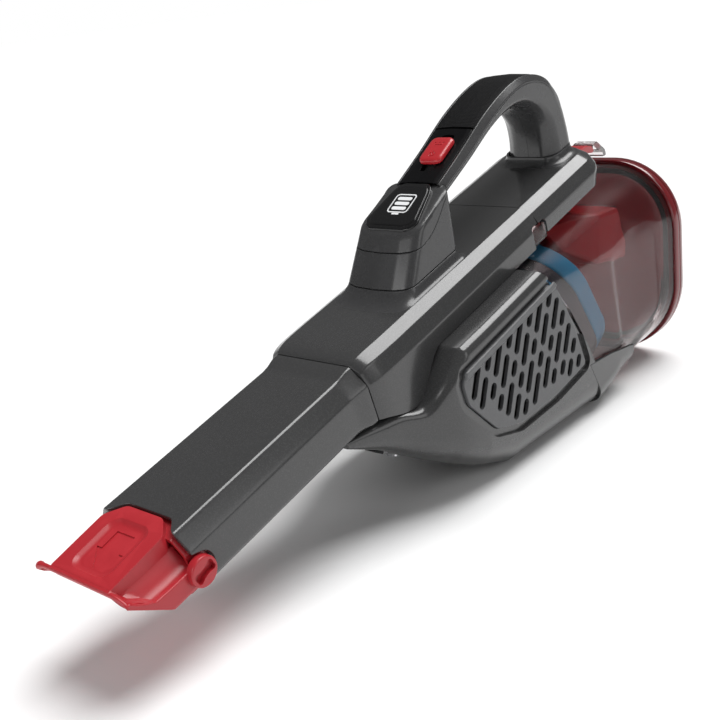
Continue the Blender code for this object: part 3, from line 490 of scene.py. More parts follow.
looks = {
    "gloss": plastic("glossCharcoal", (0.038, 0.038, 0.0385), 0.2, 1100.0, 0.012, 0.5, 0.25, 0.25, 0.25),
    "satin": plastic("satinCharcoal", (0.038, 0.038, 0.039), 0.27, 1100.0, 0.015, 0.4, 0.25, 0.25, 0.15),
    "mesh": plastic("grilleGrey", (0.07, 0.071, 0.074), 0.33, 1300.0, 0.02, 0.2, 0.3, 0.2),
    # near-black look for the sheet behind the grille slots: painted shade, not a real part
    "shadeBlack": plastic("paintedShadeBlack", (0.004, 0.004, 0.004), 0.6, 900.0, 0.02, 0.2, 0.0),
    "dark": plastic("innerCharcoal", (0.02, 0.021, 0.024), 0.4, 900.0, 0.02, 0.2, 0.1),
    "red": plastic("satinRed", (0.4, 0.016, 0.024), 0.34, 1500.0, 0.03, 0.3, 0.12, 0.0, 0.0, 0.08),
    "switch": plastic("switchRed", (0.46, 0.015, 0.022), 0.3, 1300.0, 0.012, 0.2, 0.12, 0.0, 0.2),
    "deepRed": plastic("deepRed", (0.15, 0.005, 0.009), 0.16, 900.0, 0.01, 0.3, 0.1, 0.0, 0.5),
    "panel": plastic("panelBlack", (0.006, 0.006, 0.0065), 0.14, 900.0, 0.006, 0.3, 0.05, 0.0, 0.3,
                     shine=0.3),
    "strip": plastic("stripBlack", (0.003, 0.003, 0.0035), 0.3, 900.0, 0.01, 0.3, 0.05, shine=0.12),
    "grip": knurled("gripRubber", (0.005, 0.005, 0.0055), 1.9, 0.24, 0.5),
    "rubber": plastic("plainRubber", (0.012, 0.012, 0.013), 0.6, 1800.0, 0.03, 0.1, 0.1, 0.0, 0.0, 0.1, 0.1),
    "white": plastic("iconWhite", (0.86, 0.87, 0.88), 0.4, 1500.0, 0.01, 0.1, 0.0),
    "blue": plastic("sealBlue", (0.025, 0.3, 0.56), 0.42, 900.0, 0.03, 0.3, 0.1),
    "slate": plastic("slateBand", (0.016, 0.024, 0.036), 0.45, 900.0, 0.02, 0.3, 0.1),
    "felt": plastic("filterCloth", (0.018, 0.018, 0.018), 0.9, 1400.0, 0.2, 0.6, 0.0, 0.0, 0.0, 0.05, 0.4),
    "cell": plastic("cellGreen", (0.03, 0.2, 0.11), 0.32, 900.0, 0.01, 0.3, 0.1),
    "board": plastic("boardGreen", (0.015, 0.13, 0.045), 0.4, 700.0, 0.05, 0.2, 0.1),
    "steel": metal("brightSteel", (0.6, 0.6, 0.62), 0.24),
    "brass": metal("contactBrass", (0.72, 0.52, 0.24), 0.28),
    "smoke": clearPlastic("smokyClear", (0.72, 0.63, 0.63), 0.05, 0.04, 1.0, 1.14),
    "pale": clearPlastic("paleClear", (0.9, 0.86, 0.86), 0.05),
    "redClear": clearPlastic("redClear", (0.36, 0.022, 0.03), 0.12, 0.05, 0.35, 1.4),
}
print("materials made")

sides = ((1, "right"), (-1, "left"))

# nozzle duct

duct = {
    "half": 29.0, "top": 5.0, "bottom": -22.0, "flat": 22.5, "wall": 2.2,
    "front": 33.0, "rear": 147.7, "flare": 1.8,
    # the front edge is drawn back over the pull pad, and round the bosses of the tip
    "notchDepth": 6.6, "notchHalf": 21.6, "notchSlant": 9.0, "notchMiddle": 0.8,
    "bossY": 34.0, "bossZ": -12.8, "bossRoom": 7.8,
}


def ductHalf(grow):
    d = duct
    right = [(0, d["bottom"] - grow, 0), (d["half"] + grow, d["bottom"] - grow, 3.4),
             (d["half"] + grow, -3.2 + grow * 0.5, 3.5), (d["flat"] + grow * 0.4, d["top"] + grow, 2.2),
             (0, d["top"] + grow, 0)]
    return softPath(right, closed=False, steps=5)


ductPlan = splitPlan(ductHalf(0), 1.4)


def ductPath(grow):
    return mirrored(divide(ductHalf(grow), ductPlan))


def ductFront(x, z):
    d = duct
    back = 0.4
    if z > 1.0:
        back += d["notchDepth"] * ease((d["notchHalf"] - abs(x - d["notchMiddle"])) / d["notchSlant"])
    side = ease((abs(x) - 24.5) / 3.0)
    reach = d["bossRoom"] ** 2 - (z - d["bossZ"]) ** 2
    if reach > 0:
        back += side * (d["bossY"] - d["front"] + math.sqrt(reach)) * ease(reach / 16)
    return back


def ductRing(y, grow, front=False):
    return [noseAt(x, y + (ductFront(x, z) if front else 0.0), z) for x, z in ductPath(grow)]


def makeDuct():
    d = duct
    front, rear, wall, flare = d["front"], d["rear"], d["wall"], d["flare"]
    stations = ((front, 0, True), (front + 16, 0), (90, 0), (rear - 12, 0), (rear - 8, flare * 0.25),
                (rear - 4, flare * 0.8), (rear, flare), (rear, -wall), (90, -wall), (front + 16, -wall),
                (front, -wall, True))
    rows = [ductRing(*station) for station in stations]
    shell("ductShell", rows, looks["gloss"], "body", ("nozzle_duct",), "shell_grey", 0.45, endless=True)


# red tip

tip = {
    "half": 28.9, "bottom": -19.6, "wall": 1.7, "shoulder": 32.4, "tail": 122.0, "mouthLean": 1.12,
    "railWide": 1.5, "padHalf": 19.8,
    # y, top of the outer rail, foot of the pad, top under the pad, slant of the mouth and where it starts
    "rows": (
        (0.0, -1.5, 1.7, 1.9, 1.0, 3.0), (0.5, -0.9, 2.3, 2.5, 1.0, 3.0), (2.0, -0.9, 2.3, 2.6, 0.93, 3.0),
        (2.7, -1.6, 0.4, 0.8, 0.91, 3.0), (3.5, -3.0, -2.9, -1.8, 0.9, 3.0),
        (6.2, -6.2, -3.0, -1.8, 0.92, 5.0), (9.4, -9.1, -3.0, -1.8, 1.0, 7.0),
        (20.0, -9.5, -3.0, -1.8, 0.58, 10.0), (32.4, -9.5, -3.0, -1.8, 0.0, 10.0)),
    "lip": (  # x, radius and drop of the thin lip along the front, with a small ear at its left end
        (-29.5, 0.4, 1.6), (-29.2, 1.4, 1.6), (-28.3, 1.9, 1.5), (-27.0, 1.8, 1.1), (-25.8, 1.3, 0.6),
        (-22.0, 1.05, 0.1), (0, 1.0, 0.0), (21.0, 1.0, 0.1), (25.0, 0.95, 1.2), (27.6, 0.9, 2.4),
        (28.7, 0.8, 3.0), (29.0, 0.3, 3.2)),
    "lipY": 0.9, "lipZ": 1.5,
}


def tipRing(row, skin=0.0):
    # outline at one station, its top dished into a trough on each side of the pad
    y, rail, foot, flat, slant, start = row
    t = tip
    half = t["half"] - skin
    rail, foot, flat, low = rail - skin, foot - skin, flat - skin, t["bottom"] + skin
    inner = half - t["railWide"]
    edge = inner - 0.6
    run = softPath([(0, low, 0), (half, low, 2.6), (half, rail, 0.7), (inner, rail, 0.4),
                    (edge, rail - 0.02, 0)], False, 4)
    steps = 9
    for i in range(1, steps + 1):
        u = i / steps
        run.append((edge + (t["padHalf"] - inner + 0.6) * u, rail + (foot - rail) * u ** 1.9))
    run += [(t["padHalf"] - 0.4, flat), (9, flat), (0, flat)]
    return [noseAt(x, y + max(0.0, -z - start) * t["mouthLean"] * slant, z) for x, z in mirrored(run)]


def makeTip():
    t = tip
    outer = [tipRing(row) for row in t["rows"]]
    inner = [tipRing((y + 1.0 * (y < 6), *rest), t["wall"]) for y, *rest in t["rows"] if y > 0.4]
    shell("tipShell", outer + inner[::-1], looks["red"], "nozzle_extension", ("nozzle_tip",), "accent_red",
          0.28, endless=True)
    start = t["shoulder"] - 0.6   # plain sleeve that runs back inside the duct
    stations = ((start, -2.8), (t["tail"], -2.8), (t["tail"], -4.5), (start, -4.5))
    rows = [ductRing(y, grow) for y, grow in stations]
    shell("tipSleeve", rows, looks["red"], "nozzle_extension", (), "accent_red", 0.2, endless=True)
    rows = [sideRing(circle(t["lipY"], t["lipZ"] - drop, r, 14), x) for x, r, drop in t["lip"]]
    shell("tipLip", rows, looks["red"], "nozzle_extension")


# pull pad with its dished thumb recess

pad = {
    "half": 19.6, "front": 1.6, "shoulder": 30.6, "rear": 38.4, "rearHalf": 11.5,
    "low": -2.4, "top": 2.75, "rise": 0.074,
    "dishHalf": 12.4, "dishFront": 4.4, "dishRear": 32.4, "radius": 5.6, "dish": 1.5,
    "arrowDepth": 0.5,
    "arrow": ((0, 7.9), (8.6, 17.6), (5.6, 17.6), (5.6, 26.8), (-5.6, 26.8), (-5.6, 17.6), (-8.6, 17.6)),
}


def padOutline(inset):
    p = pad
    half, rearHalf = p["half"] - inset, p["rearHalf"] - inset * 0.6
    front, shoulder, rear = p["front"] + inset, p["shoulder"] - inset * 0.4, p["rear"] - inset
    return softPath([(half, front, 0.6), (half, shoulder, 4.0), (rearHalf, rear, 5.0), (-rearHalf, rear, 5.0),
                     (-half, shoulder, 4.0), (-half, front, 0.6)], steps=5)


def padTop(y, drop=0.0):
    return pad["top"] + pad["rise"] * (y - pad["front"]) - drop


def padRing(path, drop):
    return [noseAt(x, y, padTop(y, drop)) for x, y in path]


def makePad():
    p = pad
    rows = [levelRing(padOutline(0), p["low"]), padRing(padOutline(0), 0.35), padRing(padOutline(0.12), 0.1),
            padRing(padOutline(0.45), 0.0)]
    piece = rawPiece("tipPad", *loft(rows))
    dish = []
    for inset, drop in ((-0.25, -1.0), (0.0, 0.0), (0.35, 0.2), (1.3, 0.85), (2.2, 1.3), (3.2, p["dish"])):
        outline = roundBox(p["dishHalf"] - inset, p["dishFront"] + inset, p["dishRear"] - inset,
                           max(1.5, p["radius"] - inset * 0.6), 7)
        dish.append(padRing(outline, drop))
    arrow = [padRing(p["arrow"], drop) for drop in (p["dish"] + p["arrowDepth"], -1.0)]
    tool = rawPiece("arrowTool", *loft(arrow))
    carve(piece, rawPiece("dishTool", *loft(dish)), tool)
    finishPiece(piece, looks["red"], "nozzle_extension", ("tip_pad",), "accent_red", 0.1, 2, 50)


# round bosses on the sides of the tip

boss = {
    "y": 34.0, "z": -12.8, "radius": 6.7, "out": 31.9, "waist": 1.9, "lobe": 3.1, "reach": 5.1, "lean": 12,
}


def makeBosses():
    b = boss
    r, lobe, waist, reach = b["radius"], b["lobe"], b["waist"], b["reach"]
    slot = softPath([(-reach, -lobe, 1.2), (-reach * 0.3, -waist, 1.5), (reach * 0.3, -waist, 1.5),
                     (reach, -lobe, 1.2), (reach, lobe, 1.2), (reach * 0.3, waist, 1.5),
                     (-reach * 0.3, waist, 1.5), (-reach, lobe, 1.2)])
    a = math.radians(b["lean"])
    slot = [(b["y"] + u * math.cos(a) - v * math.sin(a), b["z"] + u * math.sin(a) + v * math.cos(a))
            for u, v in slot]
    for side, word in sides:
        rows = []
        for x, size in ((28.2, r), (31.0, r), (31.55, r - 0.2), (b["out"], r - 0.8)):
            rows.append(sideRing(circle(b["y"], b["z"], size, 40), side * x))
        piece = rawPiece("tipBoss" + word.capitalize(), *loft(rows))
        carve(piece, rawPiece("slotTool", *loft([sideRing(slot, side * x) for x in (29.6, 33.5)])))
        finishPiece(piece, looks["red"], "nozzle_extension", ("tip_boss_" + word,), "accent_red", 0.2, 2)


# brush stowed under the duct

brush = {
    "half": 20, "tufts": 19, "rowsOfTufts": 3, "firstTuft": -18.0, "pitch": 2.0,
    "tuftTop": -24.2, "rowDrop": 0.7,
    "section": ((29.4, -23.4, 0.5), (57, -23.4, 0.8), (57, -26.2, 0.8), (31, -26.4, 0.8), (29, -25.4, 0.5)),
}


def prismFaces(base, n):
    # sides and lids between two rings of n points
    faces = [(base + k, base + (k + 1) % n, base + n + (k + 1) % n, base + n + k) for k in range(n)]
    return faces + [tuple(range(base + n - 1, base - 1, -1)), tuple(range(base + n, base + 2 * n))]


def makeBrush():
    b = brush
    rows = []
    for x in (-b["half"], 0.4 - b["half"], b["half"] - 0.4, b["half"]):
        pinch = 0.2 if abs(x) == b["half"] else 0.0
        section = [(y + (pinch if y < 40 else -pinch), z) for y, z in softPath(b["section"])]
        rows.append(sideRing(section, x))
    shell("brushCarrier", rows, looks["red"], "flip_brush", ("brush_carrier",), "accent_red", 0.2)
    verts, faces = [], []
    for i in range(b["tufts"]):
        for j in range(b["rowsOfTufts"]):
            x = b["firstTuft"] + b["pitch"] * i
            z = b["tuftTop"] - b["rowDrop"] * j
            faces += prismFaces(len(verts), 6)
            for y, r in ((57.1, 0.3), (66.9, 0.5)):
                for k in range(6):
                    a = k * math.pi / 3
                    spread, rise = 1.8 * r * math.cos(a), r * 0.7 * math.sin(a)
                    verts.append(noseAt(x + spread, y - (k % 2) * 0.4, z + rise))
    piece = rawPiece("brushTufts", verts, faces)
    finishPiece(piece, looks["rubber"], "flip_brush", ("brush_bristles",), "bristle_nylon")


makeDuct()
makeTip()
makePad()
makeBosses()
makeBrush()
print("nozzle made")


# upper shell: the long beam behind the duct

beam = {
    "half": 34.0, "deck": 9.0, "flat": 24.5, "band": 30.9, "bandZ": 5.6, "wall": 2.0,
    "split": 300.0, "rear": 380.6, "shelf": -12.0,
    "rise": (  # y, half width and top of the rounded front end
        (148.0, 30.9, 7.0), (150.0, 32.0, 7.9), (154.0, 33.0, 8.7), (160.0, 33.6, 9.0), (172.0, 34.0, 9.0),
        (185.0, 34.0, 9.0), (199.0, 34.0, 9.0)),
}


def beamFoot(y):
    # lower edge of the side: dips into a short lobe behind the duct
    if y < 172:
        return -21.5 - 8.5 * ease((y - 146) / 26) ** 0.9
    if y < 199:
        return -30.0 + 18.0 * ease((y - 172) / 27)
    return beam["shelf"]


def beamPath(half, top, foot, grow=0.0):
    b = beam
    k = (half - b["half"]) + grow
    t = top - b["deck"] + grow
    right = [(half + grow, foot, 0), (half + grow, -2.5 + t * 0.5, 5.0), (b["band"] + k, b["bandZ"] + t, 2.4),
             (b["flat"] + k * 0.6, b["deck"] + t, 1.6), (0, b["deck"] + t, 0)]
    run = softPath(right, closed=False, steps=5)
    return run + [(-x, z) for x, z in run[::-1][1:]]


def beamRing(y, half, top):
    b = beam
    foot = beamFoot(y)
    outer = beamPath(half, top, foot)
    inner = beamPath(half, top, foot, -b["wall"])
    return [noseAt(x, y, z) for x, z in outer + inner[::-1]]


def makeBeam():
    b = beam
    rows = smoothRows(b["rise"], 4)
    rows += [(y, b["half"], b["deck"]) for y in (240.0, 280.0, b["split"] - 0.2)]
    piece = rawPiece("beamShell", *loft([beamRing(*row) for row in rows]))
    carve(piece, *[pocketTool(side) for side in (1, -1)])
    finishPiece(piece, looks["gloss"], "body", ("upper_shell",), "shell_grey", 0.35)


button = {"front": 293.0, "rear": 307.0, "top": -0.6, "low": -11.6, "inner": 30.0, "out": 34.0}


def pocketTool(side):
    b = button
    foot, head = b["low"] - 4, b["top"] + 0.6
    outline = softPath([(b["front"], foot, 0), (b["rear"], foot, 0), (b["rear"], head, 2.5),
                        (b["front"], head, 2.5)], steps=4)
    return rawPiece("pocketTool", *loft([sideRing(outline, side * x) for x in (b["inner"] - 3.0, 37.0)]))


def makeRearShell():
    b = beam

    def level(inset, z, back=0.0, ahead=0.2):
        side = b["half"] - inset
        rear = b["rear"] - inset * 0.3 - back
        run = [(side, b["split"] + ahead, 0), (side, rear, 17.0 - inset * 0.5), (0, rear, 0)]
        half = softPath(run, False, 12)
        return levelRing(half + [(-x, y) for x, y in half[::-1][1:]], z)

    stations = ((11.0, 6.6, 0, 2.4), (6.2, 3.4, 0, 2.4), (2.9, -0.8, 0, 2.4), (2.2, -8.8, 3.6, 2.4),
                (0, -8.8, 3.6), (0, -3.0, 1.0), (0.15, -1.2), (0.75, 1.2), (3.6, 5.0), (4.3, 5.8),
                (10.0, 8.5), (11.4, 9.0))
    piece = rawPiece("rearShell", *loft([level(*station) for station in stations]))
    carve(piece, *[pocketTool(side) for side in (1, -1)])
    finishPiece(piece, looks["gloss"], "body", ("rear_cover",), "shell_grey", 0.35)


def makeButtons():
    b = button
    for side, word in sides:
        rows = []
        out = b["out"]
        for x, inset in ((b["inner"], 0.3), (out - 1.4, 0.3), (out - 0.6, 0.5), (out - 0.1, 1.3)):
            front, rear, low, top = b["front"] + inset, b["rear"] - inset, b["low"] + inset, b["top"] - inset
            outline = softPath([(front, low, 1.0), (rear, low, 1.0), (rear, top, 2.4), (front, top, 2.4)])
            rows.append(sideRing(outline, side * x))
        shell("button" + word.capitalize(), rows, looks["smoke"], "button_" + word, ("bowl_button_" + word,),
              "smoke_clear")


makeBeam()
makeRearShell()
makeButtons()
print("beam made")


# tower between the beam and the handle

tower = {
    "front": 197.0, "frontLean": 0.867, "rear": 246.0, "rearLean": 0.233, "half": 21.5, "halfLean": 0.073,
    "corner": 8.5, "bow": 1.8, "foot": 9.02, "collar": 14.2, "split": 28.2, "gap": 0.25, "wall": 2.4,
    "flare": (  # height of the collar, and how far it spreads ahead, aside and behind
        (9.02, 7.5, 3.0, 3.2), (9.2, 5.4, 2.3, 2.4), (9.8, 3.4, 1.5, 1.5), (10.8, 1.7, 0.8, 0.8),
        (12.2, 0.5, 0.25, 0.25), (13.2, 0.0, 0.0, 0.0)),
}


def towerHalf(z, grow=0.0, frontGrow=None, sideGrow=None):
    t = tower
    rise = z - 9.0
    fg = grow if frontGrow is None else frontGrow
    sg = grow if sideGrow is None else sideGrow
    front = t["front"] + t["frontLean"] * rise - fg
    rear = t["rear"] + t["rearLean"] * rise + grow
    half = t["half"] - t["halfLean"] * rise + sg
    right = [(0, front - t["bow"], 0), (half * 0.55, front - t["bow"] * 0.55, 12),
             (half, front + 2.2, t["corner"]), (half, rear, 5.0), (0, rear, 0)]
    return softPath(right, False, 8)


towerPlan = splitPlan(towerHalf(9.0), 3.0)


def towerPath(*args):
    return mirrored(divide(towerHalf(*args), towerPlan))


def towerTop(y):
    return stance["handleFoot"][1] + (y - 250.0) * math.tan(math.radians(stance["handleSlope"]))


def headFoot(y):
    # parting line of the head: level in front, sweeping up along the sides to the handle
    return tower["split"] + 16.5 * ease((y - 219.0) / 38.0) ** 1.15


def makeTower():
    t = tower
    wall, gap = t["wall"], t["gap"]
    top = t["collar"] - gap
    rows = []   # collar with its flare onto the deck
    for z, ahead, aside, behind in t["flare"] + ((top, 0.0, 0.0, 0.0),):
        rows.append(levelRing(towerPath(z, behind, ahead, aside), z))
    rows.append(levelRing(towerPath(t["collar"], -wall), top))
    rows.append(levelRing(towerPath(9.0, -wall), t["foot"]))
    shell("towerCollar", rows, looks["satin"], "body", ("tower_collar",), "shell_grey", 0.3, endless=True)

    def band(z, share, grow=0):   # its top edge sweeps up along the sides
        out = []
        for x, y in towerPath(z, grow):
            high = headFoot(y) - gap
            height = t["collar"] + gap + (high - t["collar"] - gap) * share
            out.append(noseAt(*towerSide(x, y, z, height)))
        return out

    split = t["split"]
    rows = [band(t["collar"], 0.0), band(18.9, 0.33), band(23.5, 0.66), band(split, 1.0),
            band(split, 1.0, -wall), band(t["collar"], 0.0, -wall)]
    shell("towerBand", rows, looks["satin"], "body", ("tower_band",), "shell_grey", 0.3, endless=True)

    def head(share, grow, drop=0.0):
        level = split + 10.0 * share
        out = []
        for x, y in towerPath(level, grow):
            low = headFoot(y) + gap
            high = towerTop(y) - drop
            height = low + (max(high, low + 0.3) - low) * share
            out.append(noseAt(*towerSide(x, y, level, height)))
        return out

    stations = ((0.0, -wall), (0.0, 0), (0.4, 0), (0.8, 0, 3.4), (0.95, 0, 3.0), (1.0, -0.5, 2.4),
                (1.0, -1.6, 1.9), (1.0, -4.0, 1.6), (1.0, -9.0, 1.5))
    shell("towerHead", [head(*station) for station in stations], looks["satin"], "body", ("tower_head",),
          "shell_grey", 0.3)


def towerSide(x, y, level, height):
    # a point of the outline at level, slid up or down the leaning wall to height
    t = tower
    rise = height - level
    half = t["half"] - t["halfLean"] * (level - 9)
    fore = ease((235.0 + (level - 9) * 0.5 - y) / 26.0)
    lean = t["rearLean"] + (t["frontLean"] - t["rearLean"]) * fore
    return x * (1 - t["halfLean"] * rise / half), y + lean * rise, height


panel = {
    "half": 16.2, "front": 220.6, "rear": 252.4, "radius": 7.0, "taper": 0.15,
    "steps": (  # inset, corner lost and drop
        (0, 0, 2.2), (0, 0, 1.0), (0.25, 0, 0.6), (0.8, 0.6, 0.45), (2.1, 1.6, 0.45), (2.3, 1.7, 0.15),
        (2.8, 2.0, 0.0)),
    "icon": (6.4, 231.0, 243.6, 2.0), "iconInner": (5.8, 231.6, 243.0, 1.5), "nub": (2.2, 229.7, 230.7, 0.3),
    "bars": 3, "barHalf": 4.4, "firstBar": 232.9, "barPitch": 3.3, "barLong": 2.1, "barCorner": 0.9,
}


def panelRing(half, front, rear, radius, drop):
    out = []
    for x, y in roundBox(half, front, rear, radius, 8):
        x *= 1 - panel["taper"] * ease((y - panel["front"] - 6) / 26) * (half > 10) * 2
        out.append(noseAt(x, y, towerTop(y) - drop))
    return out


def makePanel():
    p = panel
    rows = []
    for inset, lost, drop in p["steps"]:
        rows.append(panelRing(p["half"] - inset, p["front"] + inset, p["rear"] - inset, p["radius"] - lost,
                              drop))
    shell("chargePanel", rows, looks["panel"], "body", ("indicator_panel",), "panel_black", 0.12)
    # generic battery outline, three bars and the nub of its pole
    rows = [panelRing(*p["icon"], -0.02), panelRing(*p["icon"], -0.2), panelRing(*p["iconInner"], -0.2),
            panelRing(*p["iconInner"], -0.02)]
    shell("batteryOutline", rows, looks["white"], "body", ("battery_icon",), "icon_white", endless=True)
    for i in range(p["bars"]):
        y = p["firstBar"] + p["barPitch"] * i
        bar = (p["barHalf"], y, y + p["barLong"], p["barCorner"])
        rows = [panelRing(*bar, -0.02), panelRing(*bar, -0.22)]
        stands = ("charge_bar_%d" % (i + 1),)
        shell("chargeBar%d" % (i + 1), rows, looks["white"], "body", stands, "icon_white")
    rows = [panelRing(*p["nub"], -0.02), panelRing(*p["nub"], -0.2)]
    shell("batteryNub", rows, looks["white"], "body", (), "icon_white")


makeTower()
makePanel()
print("tower made")


# handle: two halves, arched from the tower to the rear of the beam

handle = {
    "path": (  # outer y and z, inner y and z, half width, roundness of the top
        (252.3, 46.0, 256.5, 37.0, 14.8, 0.0), (276.0, 52.84, 281.0, 44.0, 15.6, 0.0),
        (304.0, 61.9, 304.5, 51.0, 16.0, 0.0), (330.0, 66.2, 323.0, 53.4, 16.0, 0.0),
        (349.0, 64.4, 338.0, 50.6, 16.0, 0.0), (366.0, 55.6, 349.4, 42.4, 16.0, 0.15),
        (375.6, 41.8, 354.0, 31.0, 16.0, 1.0), (378.2, 26.0, 354.5, 20.0, 16.4, 1.0),
        (377.6, 9.3, 352.0, 9.3, 17.0, 1.0)),
    "inlay": 12.3, "recess": 2.6, "wall": 1.9, "gap": 0.06, "groove": 0.35,
    "foot": (  # height of the flared foot of the rear column and how far it spreads
        (9.02, 5.6), (9.2, 4.0), (9.8, 2.6), (10.8, 1.4), (12.0, 0.75), (13.0, 0.6), (13.4, 0.45),
        (13.4, -0.8), (9.02, -0.8)),
    "footHalf": 17.2, "footFront": 352.2, "footRear": 377.0,
}


def handleSection(span, half, full):
    # right half from the top middle round to the underside middle, d below the outer line
    g = handle["groove"] * (1 - full)
    k = handle["inlay"]
    gap = handle["gap"]

    def mix(a, b):
        return a + (b - a) * full

    drop = handle["recess"] * (1 - full)
    points = [(gap, drop, 0), (k, drop, mix(0.1, 2)), (mix(k, k + 0.2), mix(0.5, 0.25), mix(0.25, 3)),
              (mix(13.3, 12.5), mix(0.3, 1.4), mix(0.5, 4)),
              (mix(half, half - 0.6), mix(mix(3.8, 4.0), 4.6), mix(1.3, 4)),
              (mix(half, half - 0.1), mix(4.5, 7.0), 0.02), (half - g, mix(4.7, 7.4), 0.02),
              (half - g, mix(5.1, 7.8), 0.02), (half, mix(5.3, 8.2), 0.02),
              (half, span - mix(3.4, 6.0), mix(3.5, 6.0)), (half - mix(4.5, 7.5), span, mix(4.5, 7.0)),
              (gap, span, 0)]
    return softPath(points, False, 4)


def handleRings(side):
    rings = []
    for oy, oz, iy, iz, half, full in smoothRows(handle["path"], 7):
        span = math.dist((oy, oz), (iy, iz))
        full = min(1.0, max(0.0, full))
        outer = handleSection(span, half, full)
        inner = [(handle["gap"], span - handle["wall"]), (half - 6, span - 2.4), (half - 2.2, span - 5.0),
                 (half - 2.2, 6.6), (handle["inlay"] + 0.6, 5.4), (handle["gap"], 5.0)]
        ring = []
        for x, d in outer + inner:
            t = d / span
            ring.append(noseAt(side * x, oy + (iy - oy) * t, oz + (iz - oz) * t))
        rings.append(ring)
    return rings


def handleAt(u):
    rows = smoothRows([row[:4] for row in handle["path"]], 8)
    k = min(int(u * 8), len(rows) - 2)
    t = u * 8 - k
    return [a + (b - a) * t for a, b in zip(rows[k], rows[k + 1])]


def inlayRings(first, last, low, top, half, steps):
    # section of an inlay between two places along the handle
    rings = []
    for i in range(steps + 1):
        oy, oz, iy, iz = handleAt(first + (last - first) * i / steps)
        span = math.dist((oy, oz), (iy, iz))
        section = softPath([(-half, low, 0), (half, low, 0), (half, 0.45, 0.4), (half - 2.6, 0.0, 3.0),
                            (0, top, 8.0), (2.6 - half, 0.0, 3.0), (-half, 0.45, 0.4)], True, 4)
        rings.append([noseAt(x, oy + (iy - oy) * d / span, oz + (iz - oz) * d / span) for x, d in section])
    return rings


def makeHandle():
    h = handle
    for side, word in sides:
        shell("handle" + word.capitalize(), handleRings(side), looks["satin"], "body", ("handle_" + word,),
              "shell_grey", 0.12, segments=2)
    rows = []
    for z, grow in h["foot"]:
        half, front = h["footHalf"] + grow, h["footFront"] - grow
        right = [(0, front + 0.4, 0), (half, front, 7 + grow), (half, h["footRear"], 8 + grow),
                 (0, h["footRear"], 0)]
        rows.append(levelRing(mirrored(softPath(right, False, 8)), z))
    shell("handleFoot", rows, looks["satin"], "body", (), "shell_grey", 0.2, endless=True)


switch = {
    "first": 0.04, "last": 1.55, "half": 7.0, "front": 13.6, "rear": 32.4, "radius": 3.5,
    "low": 0.7, "top": 3.1,
    "onMark": 18.8, "onRadius": 1.9, "markFloor": 2.85,
    "dots": ((-2.6, 27.6, 0.35, 0.35), (0, 27.6, 0.35, 0.35), (2.6, 27.6, 0.35, 0.35), (0, 25.8, 2.4, 0.2)),
}


def slopeRing(path, up):
    return [slopeAt(x, along, up) for x, along in path]


def switchRing(inset, up):
    s = switch
    path = roundBox(s["half"] - inset, s["front"] + inset, s["rear"] - inset, s["radius"] - inset * 0.4, 6)
    return slopeRing(path, up)


def makeSwitch():
    s = switch
    strip = rawPiece("switchStrip", *loft(inlayRings(s["first"], s["last"], 2.4, -0.5, 12.0, 16)))
    slot = roundBox(4.0, 9.0, 36.0, 1.5, 5)
    carve(strip, rawPiece("slotTool", *loft([slopeRing(slot, up) for up in (-4.0, 3.0)])))
    finishPiece(strip, looks["strip"], "body", ("switch_bezel",), "panel_black", 0.15)
    steps = ((0, s["low"]), (0, 2.0), (0.35, 2.7), (1.2, s["top"]), (2.4, s["top"] + 0.15))
    cover = rawPiece("switchCover", *loft([switchRing(*step) for step in steps]))
    # generic on mark and a row of three dots with a dash, cut shallow
    middle, radius = s["onMark"], s["onRadius"]
    turns = [math.pi * (0.75 + 1.5 * i / 16) for i in range(17)]
    ring = [(radius * math.cos(a), middle + radius * math.sin(a)) for a in turns]
    thin = [(x * 0.74, middle + (y - middle) * 0.74) for x, y in ring[::-1]]
    marks = [ring + thin, [(-0.25, 18.6), (0.25, 18.6), (0.25, 21.2), (-0.25, 21.2)]]
    for x, y, w, h in s["dots"]:
        marks.append([(x - w, y - h), (x + w, y - h), (x + w, y + h), (x - w, y + h)])
    heights = (s["markFloor"], 4.5)
    tools = [rawPiece("markTool", *loft([slopeRing(mark, up) for up in heights])) for mark in marks]
    carve(cover, *tools)
    finishPiece(cover, looks["switch"], "switch", ("power_switch",), "accent_red", 0.06, 2, 50)
    grip = rawPiece("gripPad", *loft(inlayRings(1.6, 4.98, 2.4, -0.5, 12.0, 44)))
    finishPiece(grip, looks["grip"], "body", ("grip_insert",), "grip_rubber", 0.12, 2)


makeHandle()
makeSwitch()
print("handle made")


# lower housing round the motor

housing = {
    "shelf": -12.3, "half": 50.0, "seamY": 271.5, "swell": 7.0, "wall": 2.4,
    "stations": (  # y, half width, top, bottom, corner radius
        (130.0, 25.0, -23.4, -27.0, 1.6), (148.0, 31.5, -24.2, -41.0, 9.0), (159.0, 35.0, -26.2, -52.5, 13.0),
        (172.0, 41.5, -30.4, -65.0, 17.0), (185.0, 47.6, -22.0, -77.0, 19.0),
        (199.0, 49.7, -12.3, -88.5, 19.0)),
    "corner": 19.0, "waistY": 218.0, "rimGrow": 4.2, "rimDepth": 2.2, "rimOut": 58.0, "holeIn": 40.0,
    "jackRadius": 5.4,
}


def groundUnder(y):
    a = math.radians(stance["pitch"])
    return (-stance["lipHeight"] - y * math.sin(a)) / math.cos(a)


def seamBase():
    # where the leaning seam meets the ground, in nozzle height
    t = math.tan(math.radians(stance["seamLean"]))
    p = math.tan(math.radians(stance["pitch"]))
    c = math.cos(math.radians(stance["pitch"]))
    return (-stance["lipHeight"] / c - (housing["seamY"] + housing["shelf"] * t) * p) / (1 - t * p)


